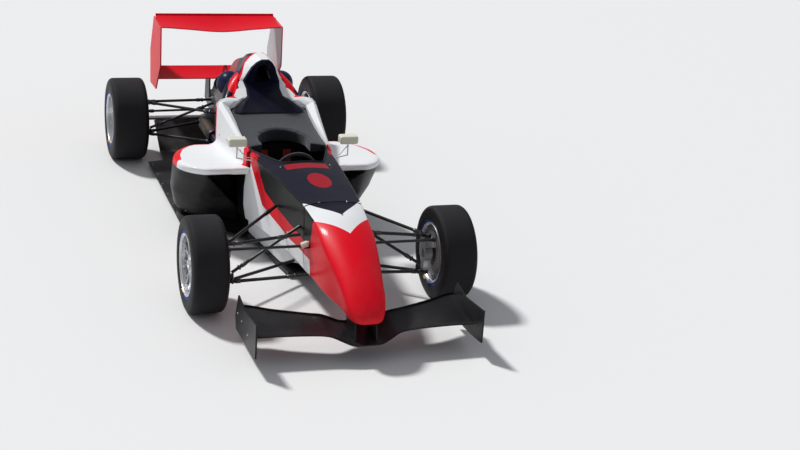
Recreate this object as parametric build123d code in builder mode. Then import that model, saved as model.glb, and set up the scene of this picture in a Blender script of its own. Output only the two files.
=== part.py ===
from build123d import *
import os
from math import cos, radians, sin

# Single-seat racing car. Millimetres, +X to the car's left, +Y rearward, +Z up.
# The origin is on the ground in the middle of the car's length and width.
# A station is a distance behind the front axle, or behind the rear axle where a name says so.

# Running gear
WHEELBASE = 2720
FRONT_OVERHANG = 870
REAR_OVERHANG = 618
FRONT_TRACK = 1416
REAR_TRACK = 1423
FRONT_TYRE_RADIUS = 270
REAR_TYRE_RADIUS = 285
FRONT_TYRE_WIDTH = 205
REAR_TYRE_WIDTH = 243
RIM_SEAT_RADIUS = 165
RIM_FLANGE_RADIUS = 175
RIM_WALL = 6
SPOKE_COUNT = 10

# Clearances: parts that are seated, parts that turn in each other, parts that pass each other
SEAT_GAP = 0.3
RUNNING_GAP = 0.05
PASSING_GAP = 5

FRONT_AXLE_Y = FRONT_OVERHANG - (FRONT_OVERHANG + WHEELBASE + REAR_OVERHANG) / 2
REAR_AXLE_Y = FRONT_AXLE_Y + WHEELBASE
# Larger than the car: the reach of a cutting solid
FAR = 3000


def at(station):
    """Y of a station behind the front axle."""
    return FRONT_AXLE_Y + station


def behind(station):
    """Y of a station behind the rear axle."""
    return REAR_AXLE_Y + station


def cross_plane(y):
    """Plane across the car: local x is the car's left, local y is up."""
    return Plane.XZ.offset(-y)


def side_plane(x):
    """Plane along the car: local x is rearward, local y is up."""
    return Plane.YZ.offset(x)


def polygon(plane, points):
    """Face with straight sides."""
    with BuildSketch(plane) as face:
        with BuildLine():
            Polyline(*points, close=True)
        make_face()
    return face.sketch


def tube_between(start, end, radius):
    """Round bar from one point to another."""
    direction = Vector(*end) - Vector(*start)
    with BuildPart() as bar:
        with BuildSketch(Plane(origin=start, z_dir=direction)):
            Circle(radius)
        extrude(amount=direction.length)
    return bar.part


# Survival cell
NOSE_SPLIT = -40
TUB_END = 1552
FLOOR_TOP = 40
FLOOR_THICKNESS = 12
COCKPIT_FRONT = 605
COCKPIT_BACK = 1300
COCKPIT_HALF_FRONT = 120
COCKPIT_HALF_BACK = 232
COCKPIT_TAPER = 330
COCKPIT_CORNER = 40
COLLAR_FRONT = 1000
COLLAR_SEAT_Z = 560
COLLAR_INSIDE = 152

# Sections of the cell: station, half width at the crease, height of the crease,
# half width below, height below, crown of the top, radius of the edges
TUB_SECTIONS = [
    (NOSE_SPLIT, 166, 602, 150, 222, 18, 14),
    (200, 190, 610, 160, 210, 16, 14),
    (COCKPIT_FRONT, 228, 607, 192, 178, 34, 14),
    (1080, 264, 612, 236, 122, 24, 14),
    (TUB_END, 258, 706, 250, 80, 8, 14),
]
# Keel under the cell, down to the floor: the same columns
KEEL_SECTIONS = [
    (330, 104, 230, 90, 110, 4, 6),
    (520, 142, 230, 132, FLOOR_TOP + SEAT_GAP, 4, 6),
    (1080, 225, 200, 215, FLOOR_TOP + SEAT_GAP, 4, 6),
    (TUB_END, 250, 150, 246, FLOOR_TOP + SEAT_GAP, 4, 6),
]
# Nose cone, from its split to the tip: the same columns
NOSE_SECTIONS = [
    (NOSE_SPLIT - SEAT_GAP, 166, 602, 150, 222, 18, 14),
    (-145, 161, 581, 145, 224, 32, 17),
    (-250, 156, 556, 140, 226, 46, 20),
    (-500, 138, 450, 122, 224, 62, 26),
    (-700, 114, 345, 98, 222, 50, 28),
    (-796, 84, 283, 78, 220, 24, 20),
    (-828, 46, 254, 44, 226, 6, 8),
]
# Hollow of the cockpit: the same columns
CAVITY_SECTIONS = [
    (120, 158, 580, 132, 240, 10, 20),
    (COCKPIT_FRONT, 203, 583, 166, 204, 10, 20),
    (1080, 238, 640, 208, 110, 10, 20),
    (COCKPIT_BACK, 236, 720, 214, 104, 10, 20),
]


def body_section(station, half_top, z_top, half_low, z_low, crown, edge, grow=0):
    """Closed section across the body: crowned top, sloping flanks, flat underside."""
    top = (half_top + grow, z_top + grow)
    low = (half_low + grow, z_low - grow)
    with BuildSketch(cross_plane(at(station))) as section:
        with BuildLine():
            ThreePointArc((-top[0], top[1]), (0, top[1] + crown), top)
            Polyline(top, low, (-low[0], low[1]), (-top[0], top[1]))
        make_face()
        fillet(section.vertices(), edge)
    return section.sketch


def body_loft(sections, grow=0, ruled=False):
    """Solid through the sections of a table, larger all round by grow."""
    with BuildPart() as body:
        loft([body_section(*row, grow=grow) for row in sections], ruled=ruled)
    return body.part


def tub_form(grow=0):
    """Whole outer form of the cell and its keel."""
    with BuildPart() as form:
        add(body_loft(TUB_SECTIONS, grow))
        add(body_loft(KEEL_SECTIONS, max(grow - SEAT_GAP, 0), ruled=True))
    return form.part


TUB = tub_form()
TUB_CLEARED = tub_form(SEAT_GAP)
NOSE_CLEARED = body_loft(NOSE_SECTIONS, SEAT_GAP)


def cockpit_mouth():
    """Outline of the cockpit's mouth in plan, narrow in front."""
    front, back = at(COCKPIT_FRONT), at(COCKPIT_BACK)
    corners = [
        (COCKPIT_HALF_FRONT, front), (COCKPIT_HALF_BACK, front + COCKPIT_TAPER),
        (COCKPIT_HALF_BACK, back), (-COCKPIT_HALF_BACK, back),
        (-COCKPIT_HALF_BACK, front + COCKPIT_TAPER), (-COCKPIT_HALF_FRONT, front),
    ]
    with BuildSketch(Plane.XY.offset(COLLAR_SEAT_Z - 60)) as mouth:
        add(polygon(Plane.XY, corners))
        fillet(mouth.vertices(), COCKPIT_CORNER)
    return mouth.sketch


with BuildPart() as monocoque:
    add(TUB)
    add(body_loft(CAVITY_SECTIONS), mode=Mode.SUBTRACT)
    extrude(cockpit_mouth(), amount=FAR, mode=Mode.SUBTRACT)
    with BuildSketch(Plane.XY.offset(COLLAR_SEAT_Z)):
        with Locations((0, at(COLLAR_FRONT))):
            Rectangle(FAR, FAR, align=(Align.CENTER, Align.MIN))
    extrude(amount=FAR, mode=Mode.SUBTRACT)

# Collar round the driver's head: the top of the cell's form, opened in the middle
COLLAR_ARC_CENTRE = COLLAR_FRONT + 90
COLLAR_BACK_CUT = 1490
HOOP_NECK_HALF = 125
with BuildPart() as headrest:
    add(body_loft(TUB_SECTIONS))
    with BuildSketch(Plane.XY.offset(COLLAR_SEAT_Z + SEAT_GAP)):
        Rectangle(FAR, FAR)
    extrude(amount=-FAR, mode=Mode.SUBTRACT)
    with BuildSketch(Plane.XY):
        with Locations((0, at(COLLAR_FRONT))):
            Rectangle(FAR, FAR, align=(Align.CENTER, Align.MAX))
        with Locations((0, at(COLLAR_FRONT))):
            Rectangle(2 * COLLAR_INSIDE, 90, align=(Align.CENTER, Align.MIN))
        with Locations((0, at(COLLAR_ARC_CENTRE))):
            Circle(COLLAR_INSIDE)
    extrude(amount=FAR, mode=Mode.SUBTRACT)

# Steering: the rack lies across the nose, ahead of the axle
KINGPIN_X = 590
KINGPIN_RADIUS = 10
STEERING_ARM = 100
RACK_Z = 388
RACK_RADIUS = 13
RACK_HALF = 190
TIE_ROD_RADIUS = 8
ROD_END_RADIUS = 12
ROD_END_HEIGHT = 18
ROD_END_LIFT = 1.5

with BuildPart() as nose_cone:
    add(body_loft(NOSE_SECTIONS))
    with BuildSketch(side_plane(-FAR / 2)):
        with Locations((at(-STEERING_ARM), RACK_Z)):
            Circle(RACK_RADIUS + RUNNING_GAP)
    extrude(amount=FAR, mode=Mode.SUBTRACT)

with BuildPart() as steering_rack:
    for radius, half in ((RACK_RADIUS, RACK_HALF), (TIE_ROD_RADIUS, KINGPIN_X)):
        with BuildSketch(side_plane(-half)):
            with Locations((at(-STEERING_ARM), RACK_Z)):
                Circle(radius)
        extrude(amount=2 * half)
    with BuildSketch(Plane.XY.offset(RACK_Z - ROD_END_HEIGHT / 2)):
        with Locations((KINGPIN_X, at(-STEERING_ARM)), (-KINGPIN_X, at(-STEERING_ARM))):
            Circle(ROD_END_RADIUS)
    extrude(amount=ROD_END_HEIGHT)

# Wings. Columns: place across as a share of the half span, y and height of the leading edge,
# y and height of the trailing edge, hollow of the upper side
WING_EDGE = 7
FRONT_WING_SPAN = 1208
FRONT_WING_DEPTH = 20
FRONT_WING_STATIONS = [
    (0, at(-815), 106, at(-545), 120, 5),
    (0.13, at(-812), 108, at(-548), 124, 5),
    (0.21, at(-796), 124, at(-556), 146, 6),
    (0.31, at(-772), 146, at(-562), 172, 8),
    (0.42, at(-758), 152, at(-552), 178, 8),
    (0.72, at(-747), 156, at(-492), 186, 8),
    (1.0, at(-745), 156, at(-425), 192, 10),
]
REAR_WING_SPAN = 876
UPPER_WING_DEPTH = 20
UPPER_WING_STATIONS = [
    (0, behind(228), 852, behind(480), 915, 14),
    (0.6, behind(225), 872, behind(480), 915, 12),
    (1.0, behind(215), 885, behind(480), 915, 10),
]
LOWER_WING_DEPTH = 12
LOWER_WING_STATIONS = [
    (0, behind(292), 488, behind(480), 534, 6),
    (1.0, behind(292), 490, behind(480), 536, 6),
]
ENDPLATE_THICKNESS = 9
# Endplates seen from the side, from the lower front corner round
FRONT_ENDPLATE_OUTLINE = [
    (at(-870), 101), (at(-712), 83), (at(-436), 73), (at(-410), 144),
    (at(-459), 274), (at(-603), 249), (at(-865), 282),
]
REAR_ENDPLATE_OUTLINE = [
    (behind(362), 395), (behind(592), 386), (behind(REAR_OVERHANG), 635), (behind(495), 905),
    (behind(205), 890), (behind(193), 609), (behind(291), 490),
]


def wing_section(x, lead, trail, hollow, depth):
    """Section of a wing that presses down: hollow above, full below."""
    middle = ((lead[0] + trail[0]) / 2, (lead[1] + trail[1]) / 2)
    half = WING_EDGE / 2
    with BuildSketch(side_plane(x)) as section:
        with BuildLine():
            ThreePointArc(
                (lead[0], lead[1] + half),
                (middle[0], middle[1] + half - hollow),
                (trail[0], trail[1] + half),
            )
            Line((trail[0], trail[1] + half), (trail[0], trail[1] - half))
            ThreePointArc(
                (trail[0], trail[1] - half),
                (middle[0] - depth, middle[1] - depth - half),
                (lead[0], lead[1] - half),
            )
            Line((lead[0], lead[1] - half), (lead[0], lead[1] + half))
        make_face()
    return section.sketch


def wing_plane(stations, span, depth):
    """Whole wing plane: its left half lofted through its stations, and its mirror image."""
    with BuildPart() as plane:
        loft([
            wing_section(share * span / 2, (y0, z0), (y1, z1), hollow, depth)
            for share, y0, z0, y1, z1, hollow in stations
        ], ruled=True)
        mirror(about=Plane.YZ)
    return plane.part


def endplates(span, outline):
    """Flat plates just outside both ends of a wing."""
    with BuildPart() as plates:
        extrude(polygon(side_plane(span / 2 + SEAT_GAP), outline), amount=ENDPLATE_THICKNESS)
        mirror(about=Plane.YZ)
    return plates.part


with BuildPart() as front_wing:
    add(wing_plane(FRONT_WING_STATIONS, FRONT_WING_SPAN, FRONT_WING_DEPTH))

with BuildPart() as front_wing_endplates:
    add(endplates(FRONT_WING_SPAN, FRONT_ENDPLATE_OUTLINE))

with BuildPart() as rear_wing_upper:
    add(wing_plane(UPPER_WING_STATIONS, REAR_WING_SPAN, UPPER_WING_DEPTH))

with BuildPart() as rear_wing_lower:
    add(wing_plane(LOWER_WING_STATIONS, REAR_WING_SPAN, LOWER_WING_DEPTH))

with BuildPart() as rear_wing_endplates:
    add(endplates(REAR_WING_SPAN, REAR_ENDPLATE_OUTLINE))

# Pylons from the nose down to the front wing
PYLON_X = 58
PYLON_THICKNESS = 8
PYLON_OUTLINE = [(at(-775), 114), (at(-620), 114), (at(-570), 250), (at(-745), 250)]
with BuildPart() as front_wing_pylons:
    extrude(
        polygon(side_plane(PYLON_X - PYLON_THICKNESS / 2), PYLON_OUTLINE),
        amount=PYLON_THICKNESS,
    )
    mirror(about=Plane.YZ)
    add(NOSE_CLEARED, mode=Mode.SUBTRACT)
    add(front_wing.part, mode=Mode.SUBTRACT)

# Floor. Front part by station and half width, then the round shoulders beside the sidepods
FLOOR_HALF = 592
FLOOR_TAIL_HALF = 470
FLOOR_FRONT = [(363, 125), (504, 143), (900, 210), (1150, 400)]
SHOULDER_ARC = [(1150, 400), (1230, 540), (1400, FLOOR_HALF)]
FLOOR_WAIST_START = -240
FLOOR_WAIST_END = -215
FENCE_HEIGHT = 34
FENCE_THICKNESS = 6
DIFFUSER_LENGTH = 270
DIFFUSER_RISE = 150
DIFFUSER_SKIN = 6


def floor_shoulder(inset):
    """Round front shoulder of the floor on the left, moved inwards by inset."""
    points = [(half - inset, at(station) + inset) for station, half in SHOULDER_ARC]
    return ThreePointArc(*points)


with BuildPart() as floor:
    with BuildSketch(Plane.XY.offset(FLOOR_TOP - FLOOR_THICKNESS)):
        with BuildLine():
            Polyline((0, at(FLOOR_FRONT[0][0])), *[(half, at(s)) for s, half in FLOOR_FRONT])
            floor_shoulder(0)
            Polyline(
                (FLOOR_HALF, at(SHOULDER_ARC[-1][0])),
                (FLOOR_HALF, behind(FLOOR_WAIST_START)),
                (FLOOR_TAIL_HALF, behind(FLOOR_WAIST_END)),
                (FLOOR_TAIL_HALF, behind(0)),
                (0, behind(0)),
                (0, at(FLOOR_FRONT[0][0])),
            )
        make_face()
        mirror(about=Plane.YZ)
    extrude(amount=FLOOR_THICKNESS)
    with BuildSketch(Plane.XY.offset(FLOOR_TOP)):
        with BuildLine():
            outer = floor_shoulder(0)
            inner = floor_shoulder(FENCE_THICKNESS)
            Line(outer @ 0, inner @ 0)
            Line(outer @ 1, inner @ 1)
        make_face()
        mirror(about=Plane.YZ)
    extrude(amount=FENCE_HEIGHT)
    extrude(
        polygon(side_plane(-FLOOR_TAIL_HALF), [
            (behind(0), FLOOR_TOP - FLOOR_THICKNESS),
            (behind(DIFFUSER_LENGTH), FLOOR_TOP + DIFFUSER_RISE - DIFFUSER_SKIN),
            (behind(DIFFUSER_LENGTH), FLOOR_TOP + DIFFUSER_RISE),
            (behind(0), FLOOR_TOP),
        ]),
        amount=2 * FLOOR_TAIL_HALF,
    )

# Sidepods: plan outlines of the left one at rising heights. Columns: height, station of the
# front edge, x of the front corner, x and station of the widest place, x and station of the
# rear corner
POD_INSIDE = 150
POD_RINGS = [
    (FLOOR_TOP + SEAT_GAP, 1262, 380, 540, 1420, 500, 1690),
    (120, 1215, 400, 604, 1350, 515, 1670),
    (250, 1120, 412, 640, 1270, 510, 1620),
    (400, 985, 450, 648, 1190, 485, 1565),
    (530, 868, 520, 645, 1130, 468, 1532),
]
# The white top slopes down rearwards, between two stations
POD_TOP = [(870, 512), (1560, 462)]
POD_LIP = 14
POD_CORNER_PULL = 0.36
POD_EDGE = 9
INLET_END = 1440


def pod_top(station):
    """Height of the sidepods' top at a station."""
    (start, z_start), (end, z_end) = POD_TOP
    return z_start + (z_end - z_start) * (station - start) / (end - start)


def corner_arc(start, end, corner):
    """Round corner: an arc whose middle is drawn towards the sharp corner."""
    middle = tuple(
        (a + b) / 2 * (1 - POD_CORNER_PULL) + c * POD_CORNER_PULL
        for a, b, c in zip(start, end, corner)
    )
    return ThreePointArc(start, middle, end)


def pod_ring(height, front, x_front, x_wide, wide, x_back, back):
    """Outline of the pod in plan at one height."""
    nose, flank, tail = (x_front, at(front)), (x_wide, at(wide)), (x_back, at(back))
    with BuildSketch(Plane.XY.offset(height)) as ring:
        with BuildLine():
            Line((POD_INSIDE, nose[1]), nose)
            corner_arc(nose, flank, (x_wide, nose[1]))
            corner_arc(flank, tail, (x_wide, tail[1]))
            Polyline(tail, (POD_INSIDE, tail[1]), (POD_INSIDE, nose[1]))
        make_face()
    return ring.sketch


def inlet_face(station, shrink=0):
    """Mouth of the inlet seen from in front: straight lip above, swept edge below."""
    lip = pod_top(INLET_END) - POD_LIP - shrink
    outer, low = 500 - shrink, 140 + shrink
    with BuildSketch(cross_plane(at(station))) as face:
        with BuildLine():
            Line((POD_INSIDE, lip), (outer, lip))
            ThreePointArc((outer, lip), (405 - shrink, 338 + shrink), (240, low))
            Polyline((240, low), (POD_INSIDE, low), (POD_INSIDE, lip))
        make_face()
    return face.sketch


def above_pods():
    """Everything above the sidepods' sloping top, seen from the side."""
    (start, z_start), (end, z_end) = POD_TOP
    reach = 400
    return polygon(side_plane(-FAR / 2), [
        (at(start - reach), pod_top(start - reach)), (at(end + reach), pod_top(end + reach)),
        (at(end + reach), FAR), (at(start - reach), FAR),
    ])


with BuildPart() as sidepod_left:
    loft([pod_ring(*row) for row in POD_RINGS], ruled=True)
    extrude(above_pods(), amount=FAR, mode=Mode.SUBTRACT)
    top_rim = sidepod_left.faces().sort_by(Axis.Z)[-1].edges()
    fillet(top_rim.filter_by(lambda edge: edge.center().X > POD_INSIDE + 1), POD_EDGE)
    extrude(inlet_face(INLET_END), amount=FAR / 3, mode=Mode.SUBTRACT)
    add(TUB_CLEARED, mode=Mode.SUBTRACT)

with BuildPart() as sidepod_right:
    mirror(sidepod_left.part, about=Plane.YZ)

RADIATOR_THICKNESS = 44
with BuildPart() as radiators:
    extrude(inlet_face(INLET_END - SEAT_GAP, 0.4), amount=RADIATOR_THICKNESS)
    add(TUB_CLEARED, mode=Mode.SUBTRACT)
    mirror(about=Plane.YZ)

# White panel round the collar, and the fairing that rises behind the head.
# Rear edge of the panel seen from the side: station and height, from the shoulder up
TRIM_START = (1600, 757)
TRIM_MIDDLE = (1722, 824)
TRIM_END = (1803, 928)
TRIM_TOP = (1816, 1010)
TRIM_DROP = 60
# Sections of its left wall: station, half width, height of the shoulder, x and height of
# the inner edge, which turns in over the collar's rear corner
SHROUD_SECTIONS = [
    (930, 266, 618, 250, 610),
    (1300, 302, 692, 250, 672),
    (1510, 322, 742, 254, 712),
    (TUB_END, 326, 750, 182, 738),
    (TRIM_START[0], 246, 757, 122, 758),
]
SHOULDER = 24
# Rings of the tower in plan. Columns: height, half width and station of the hoop's front
# edge, half width of its rear edge, half width and station of the fairing's rear edge
TOWER_RINGS = [
    (690, 190, 1453, 232, 232, 1480),
    (738, 140, 1540, 160, 175, 1570),
    (748, 124, 1558, 138, 218, 1600),
    (757, 108, 1575, 118, 215, 1602),
    (790, 106, 1640, 112, 178, 1682),
    (826, 116, 1698, 122, 154, 1728),
    (881, 94, 1684, 98, 124, 1782),
    (928, 76, 1656, 80, 98, 1803),
    (965, 50, 1632, 53, 64, 1814),
    (988, 22, 1614, 24, 30, 1818),
]
FAIRING_FIRST_RING = 2
HOOP_DEPTH = 22
INTAKE_END = 1808


def shroud_wall(station, half, shoulder, inner, z_inner):
    """Section of the left wall: upright side, shoulder, and the slope in to the collar."""
    return polygon(cross_plane(at(station)), [
        (half, pod_top(station) + SEAT_GAP), (half, shoulder - SHOULDER), (half - SHOULDER, shoulder),
        (inner, z_inner), (inner, pod_top(station) + SEAT_GAP),
    ])


def hoop_ring(height, half_front, front, half_rear, *_):
    """Plan of the hoop at one height."""
    return polygon(Plane.XY.offset(height), [
        (-half_front, at(front)), (half_front, at(front)),
        (half_rear, at(front) + HOOP_DEPTH), (-half_rear, at(front) + HOOP_DEPTH),
    ])


def fairing_ring(height, half_front, front, half_rear, half_back, back):
    """Plan of the fairing at one height, from just behind the hoop."""
    start = at(front) + HOOP_DEPTH + SEAT_GAP
    return polygon(Plane.XY.offset(height), [
        (-half_rear, start), (half_rear, start), (half_back, at(back)), (-half_back, at(back)),
    ])


def ahead_of_trim(gap=0):
    """Everything ahead of the white panel's rear edge, seen from the side."""
    with BuildSketch(side_plane(-FAR / 2)) as region:
        with BuildLine():
            start, middle, end, top = [
                (at(s) + gap, z - gap) for s, z in (TRIM_START, TRIM_MIDDLE, TRIM_END, TRIM_TOP)
            ]
            shoulder = (at(TUB_END) + gap, start[1] - TRIM_DROP)
            Polyline((at(0), 0), (shoulder[0], 0), shoulder, start)
            ThreePointArc(start, middle, end)
            Polyline(end, top, (top[0], FAR), (at(0), FAR), (at(0), 0))
        make_face()
    return region.sketch


def intake_mouth():
    """Mouth of the engine's air intake, seen from in front."""
    with BuildSketch(cross_plane(at(INTAKE_END))) as mouth:
        with BuildLine():
            Polyline((-40, 900), (-54, 838), (-44, 826), (44, 826), (54, 838), (40, 900))
            ThreePointArc((40, 900), (0, 950), (-40, 900))
        make_face()
    return mouth.sketch


with BuildPart() as roll_hoop:
    loft([hoop_ring(*row) for row in TOWER_RINGS], ruled=True)
    extrude(intake_mouth(), amount=FAR / 3, mode=Mode.SUBTRACT)
    add(TUB_CLEARED, mode=Mode.SUBTRACT)

with BuildPart() as cockpit_shroud:
    loft([shroud_wall(*row) for row in SHROUD_SECTIONS], ruled=True)
    mirror(about=Plane.YZ)
    loft([fairing_ring(*row) for row in TOWER_RINGS[FAIRING_FIRST_RING:]], ruled=True)
    extrude(ahead_of_trim(), amount=FAR, mode=Mode.INTERSECT)
    extrude(intake_mouth(), amount=FAR / 3, mode=Mode.SUBTRACT)
    add(TUB_CLEARED, mode=Mode.SUBTRACT)

# Engine and gearbox
ENGINE_LENGTH = 490
ENGINE_HALF = 150
ENGINE_TOP = 500
ENGINE_BOTTOM = 70
with BuildPart() as engine:
    with BuildSketch(cross_plane(at(TUB_END + SEAT_GAP))):
        with Locations((0, (ENGINE_TOP + ENGINE_BOTTOM) / 2)):
            Rectangle(2 * ENGINE_HALF, ENGINE_TOP - ENGINE_BOTTOM)
    extrude(amount=-ENGINE_LENGTH)

GEARBOX_FRONT_Y = at(TUB_END + ENGINE_LENGTH + 2 * SEAT_GAP)
GEARBOX_BACK = 200
GEARBOX_SECTIONS = [
    (GEARBOX_FRONT_Y, 140, 80, 440),
    (behind(-330), 104, 110, 400),
    (behind(-60), 104, 150, 400),
    (behind(GEARBOX_BACK), 80, 190, 380),
]
CASE_CORNER = 24
OUTPUT_RADIUS = 62
OUTPUT_X = 150
SHAFT_RADIUS = 15
STUB_RADIUS = 22
STUB_DEPTH = 60


def case_section(y, half, low, high):
    """Rounded rectangle across the car."""
    with BuildSketch(cross_plane(y)) as section:
        with Locations((0, (low + high) / 2)):
            RectangleRounded(2 * half, high - low, CASE_CORNER)
    return section.sketch


with BuildPart() as gearbox:
    loft([case_section(*row) for row in GEARBOX_SECTIONS], ruled=True)
    with BuildSketch(side_plane(-OUTPUT_X)):
        with Locations((behind(0), REAR_TYRE_RADIUS)):
            Circle(OUTPUT_RADIUS)
    extrude(amount=2 * OUTPUT_X)
    with BuildSketch(side_plane(-OUTPUT_X)):
        with Locations((behind(0), REAR_TYRE_RADIUS)):
            Circle(STUB_RADIUS + RUNNING_GAP)
    extrude(amount=2 * OUTPUT_X, mode=Mode.SUBTRACT)

# Engine cover: y, half width and height of the lower edge, half width and height where the
# shoulder begins, half width and height of the neck, half width and height of the spine
COVER_WALL = 5
COVER_SECTIONS = [
    (at(1556), 312, 440, 306, 690, 240, 742, 150, 752),
    (at(1700), 274, 440, 262, 690, 178, 792, 100, 890),
    (at(1830), 244, 440, 230, 690, 126, 866, 68, 956),
    (at(2000), 206, 442, 190, 650, 90, 790, 42, 926),
    (behind(-420), 152, 446, 134, 570, 50, 680, 24, 820),
    (behind(-200), 120, 452, 104, 530, 34, 626, 16, 720),
    (behind(70), 96, 457, 82, 500, 24, 580, 12, 640),
]
SPINE_CROWN = 8
# Blister on each shoulder: centre, slope of its axis, length ahead and behind, radius
BLISTER_CENTRE = (172, at(1890), 762)
BLISTER_SLOPE = (-0.17, 1, -0.30)
BLISTER_AHEAD = 100
BLISTER_BEHIND = 330
BLISTER_RADIUS = 82


def cover_section(y, half_low, z_low, half_side, z_side, neck, z_neck, spine, z_spine, inset=0):
    """Section of the cover: flanks, round shoulders and a narrow spine."""
    low = (half_low - inset, z_low - 4 * inset)
    side = (half_side - inset, z_side)
    neck_point = (neck - inset, z_neck - inset)
    spine_point = (spine - inset, z_spine - inset)
    with BuildSketch(cross_plane(y)) as section:
        with BuildLine():
            Line(low, side)
            TangentArc(side, neck_point, tangent=(0, 1))
            Line(neck_point, spine_point)
            ThreePointArc(
                spine_point, (0, z_spine + SPINE_CROWN - inset), (-spine_point[0], spine_point[1]),
            )
            Line((-spine_point[0], spine_point[1]), (-neck_point[0], neck_point[1]))
            TangentArc((-side[0], side[1]), (-neck_point[0], neck_point[1]), tangent=(0, 1))
            Polyline((-side[0], side[1]), (-low[0], low[1]), low)
        make_face()
    return section.sketch


def blister():
    """Drop-shaped bulge on the left shoulder."""
    axis_plane = Plane(origin=BLISTER_CENTRE, x_dir=BLISTER_SLOPE, z_dir=(1, 0.17, 0))
    share = 0.7
    with BuildPart() as bulge:
        with BuildSketch(axis_plane):
            with BuildLine():
                ThreePointArc(
                    (-BLISTER_AHEAD, 0), (-BLISTER_AHEAD * share, BLISTER_RADIUS * share),
                    (0, BLISTER_RADIUS),
                )
                ThreePointArc(
                    (0, BLISTER_RADIUS), (BLISTER_BEHIND * 0.55, BLISTER_RADIUS * share),
                    (BLISTER_BEHIND, 0),
                )
                Line((BLISTER_BEHIND, 0), (-BLISTER_AHEAD, 0))
            make_face()
        revolve(axis=Axis(BLISTER_CENTRE, BLISTER_SLOPE))
    return bulge.part


with BuildPart() as engine_cover:
    add(blister())
    mirror(about=Plane.YZ)
    loft([cover_section(*row) for row in COVER_SECTIONS])
    loft([cover_section(*row, inset=COVER_WALL) for row in COVER_SECTIONS], mode=Mode.SUBTRACT)
    extrude(ahead_of_trim(SEAT_GAP), amount=FAR, mode=Mode.SUBTRACT)

# Seat, dash and steering wheel
SEAT_HALF = 165
SEAT_WALL = 20
SEAT_OUTLINE = [
    (at(860), 60), (at(1310), 60), (at(1310), 540), (at(1262), 540), (at(1150), 300), (at(860), 260),
]
SEAT_HOLLOW = [
    (at(840), 170), (at(1135), 155), (at(1270), 430), (at(1270), 560), (at(1000), 560), (at(840), 400),
]
with BuildPart() as seat:
    extrude(polygon(side_plane(-SEAT_HALF), SEAT_OUTLINE), amount=2 * SEAT_HALF)
    add(body_loft(CAVITY_SECTIONS, -SEAT_GAP), mode=Mode.INTERSECT)
    extrude(
        polygon(side_plane(SEAT_WALL - SEAT_HALF), SEAT_HOLLOW),
        amount=2 * (SEAT_HALF - SEAT_WALL),
        mode=Mode.SUBTRACT,
    )

DASH_STATION = 640
DASH_THICKNESS = 14
DASH_HEIGHT = 140
WHEEL_STATION = 770
WHEEL_HEIGHT = 528
COLUMN_TILT = 15
COLUMN_RADIUS = 11
COLUMN_LENGTH = 300
GRIP_RADIUS = 13
STEERING_WHEEL_RADIUS = 118
STEERING_HUB_HALF = 30

column_plane = Plane(
    origin=(0, at(WHEEL_STATION), WHEEL_HEIGHT),
    x_dir=(1, 0, 0),
    z_dir=(0, cos(radians(COLUMN_TILT)), sin(radians(COLUMN_TILT))),
)
with BuildPart() as steering_wheel:
    with BuildSketch(column_plane):
        Circle(STEERING_WHEEL_RADIUS + GRIP_RADIUS)
        Circle(STEERING_WHEEL_RADIUS - GRIP_RADIUS, mode=Mode.SUBTRACT)
        with Locations((0, 88)):
            Rectangle(FAR, FAR, align=(Align.CENTER, Align.MIN), mode=Mode.SUBTRACT)
        Rectangle(2 * STEERING_WHEEL_RADIUS, 2 * STEERING_HUB_HALF)
    extrude(amount=GRIP_RADIUS, both=True)
    with BuildSketch(column_plane):
        Circle(COLUMN_RADIUS)
    extrude(amount=-COLUMN_LENGTH)

with BuildPart() as dashboard:
    with BuildSketch(cross_plane(at(DASH_STATION))):
        with Locations((0, COLLAR_SEAT_Z + 30)):
            Rectangle(FAR, DASH_HEIGHT, align=(Align.CENTER, Align.MAX))
    extrude(amount=DASH_THICKNESS)
    add(body_loft(CAVITY_SECTIONS, -SEAT_GAP), mode=Mode.INTERSECT)
    with BuildSketch(column_plane):
        Circle(COLUMN_RADIUS + RUNNING_GAP)
    extrude(amount=-2 * COLUMN_LENGTH, mode=Mode.SUBTRACT)

# Mirrors on bent stalks
MIRROR_X = 345
MIRROR_STATION = 849
MIRROR_Z = 691
MIRROR_WIDTH = 113
MIRROR_HEIGHT = 50
MIRROR_DEPTH = 60
STALK_RADIUS = 4
STALK_BEND_Z = 592
STALK_FOOT = (200, at(MIRROR_STATION), 560)
with BuildPart() as mirrors:
    with BuildSketch(cross_plane(at(MIRROR_STATION) + MIRROR_DEPTH / 2)):
        with Locations((MIRROR_X, MIRROR_Z)):
            RectangleRounded(MIRROR_WIDTH, MIRROR_HEIGHT, 12)
    extrude(amount=MIRROR_DEPTH)
    fillet(mirrors.faces().sort_by(Axis.Y)[0].edges(), 10)
    add(tube_between(
        (MIRROR_X, at(MIRROR_STATION), MIRROR_Z),
        (MIRROR_X, at(MIRROR_STATION), STALK_BEND_Z - STALK_RADIUS),
        STALK_RADIUS,
    ))
    add(tube_between(
        (MIRROR_X + STALK_RADIUS, at(MIRROR_STATION), STALK_BEND_Z), STALK_FOOT, STALK_RADIUS,
    ))
    add(TUB_CLEARED, mode=Mode.SUBTRACT)
    mirror(about=Plane.YZ)

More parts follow.
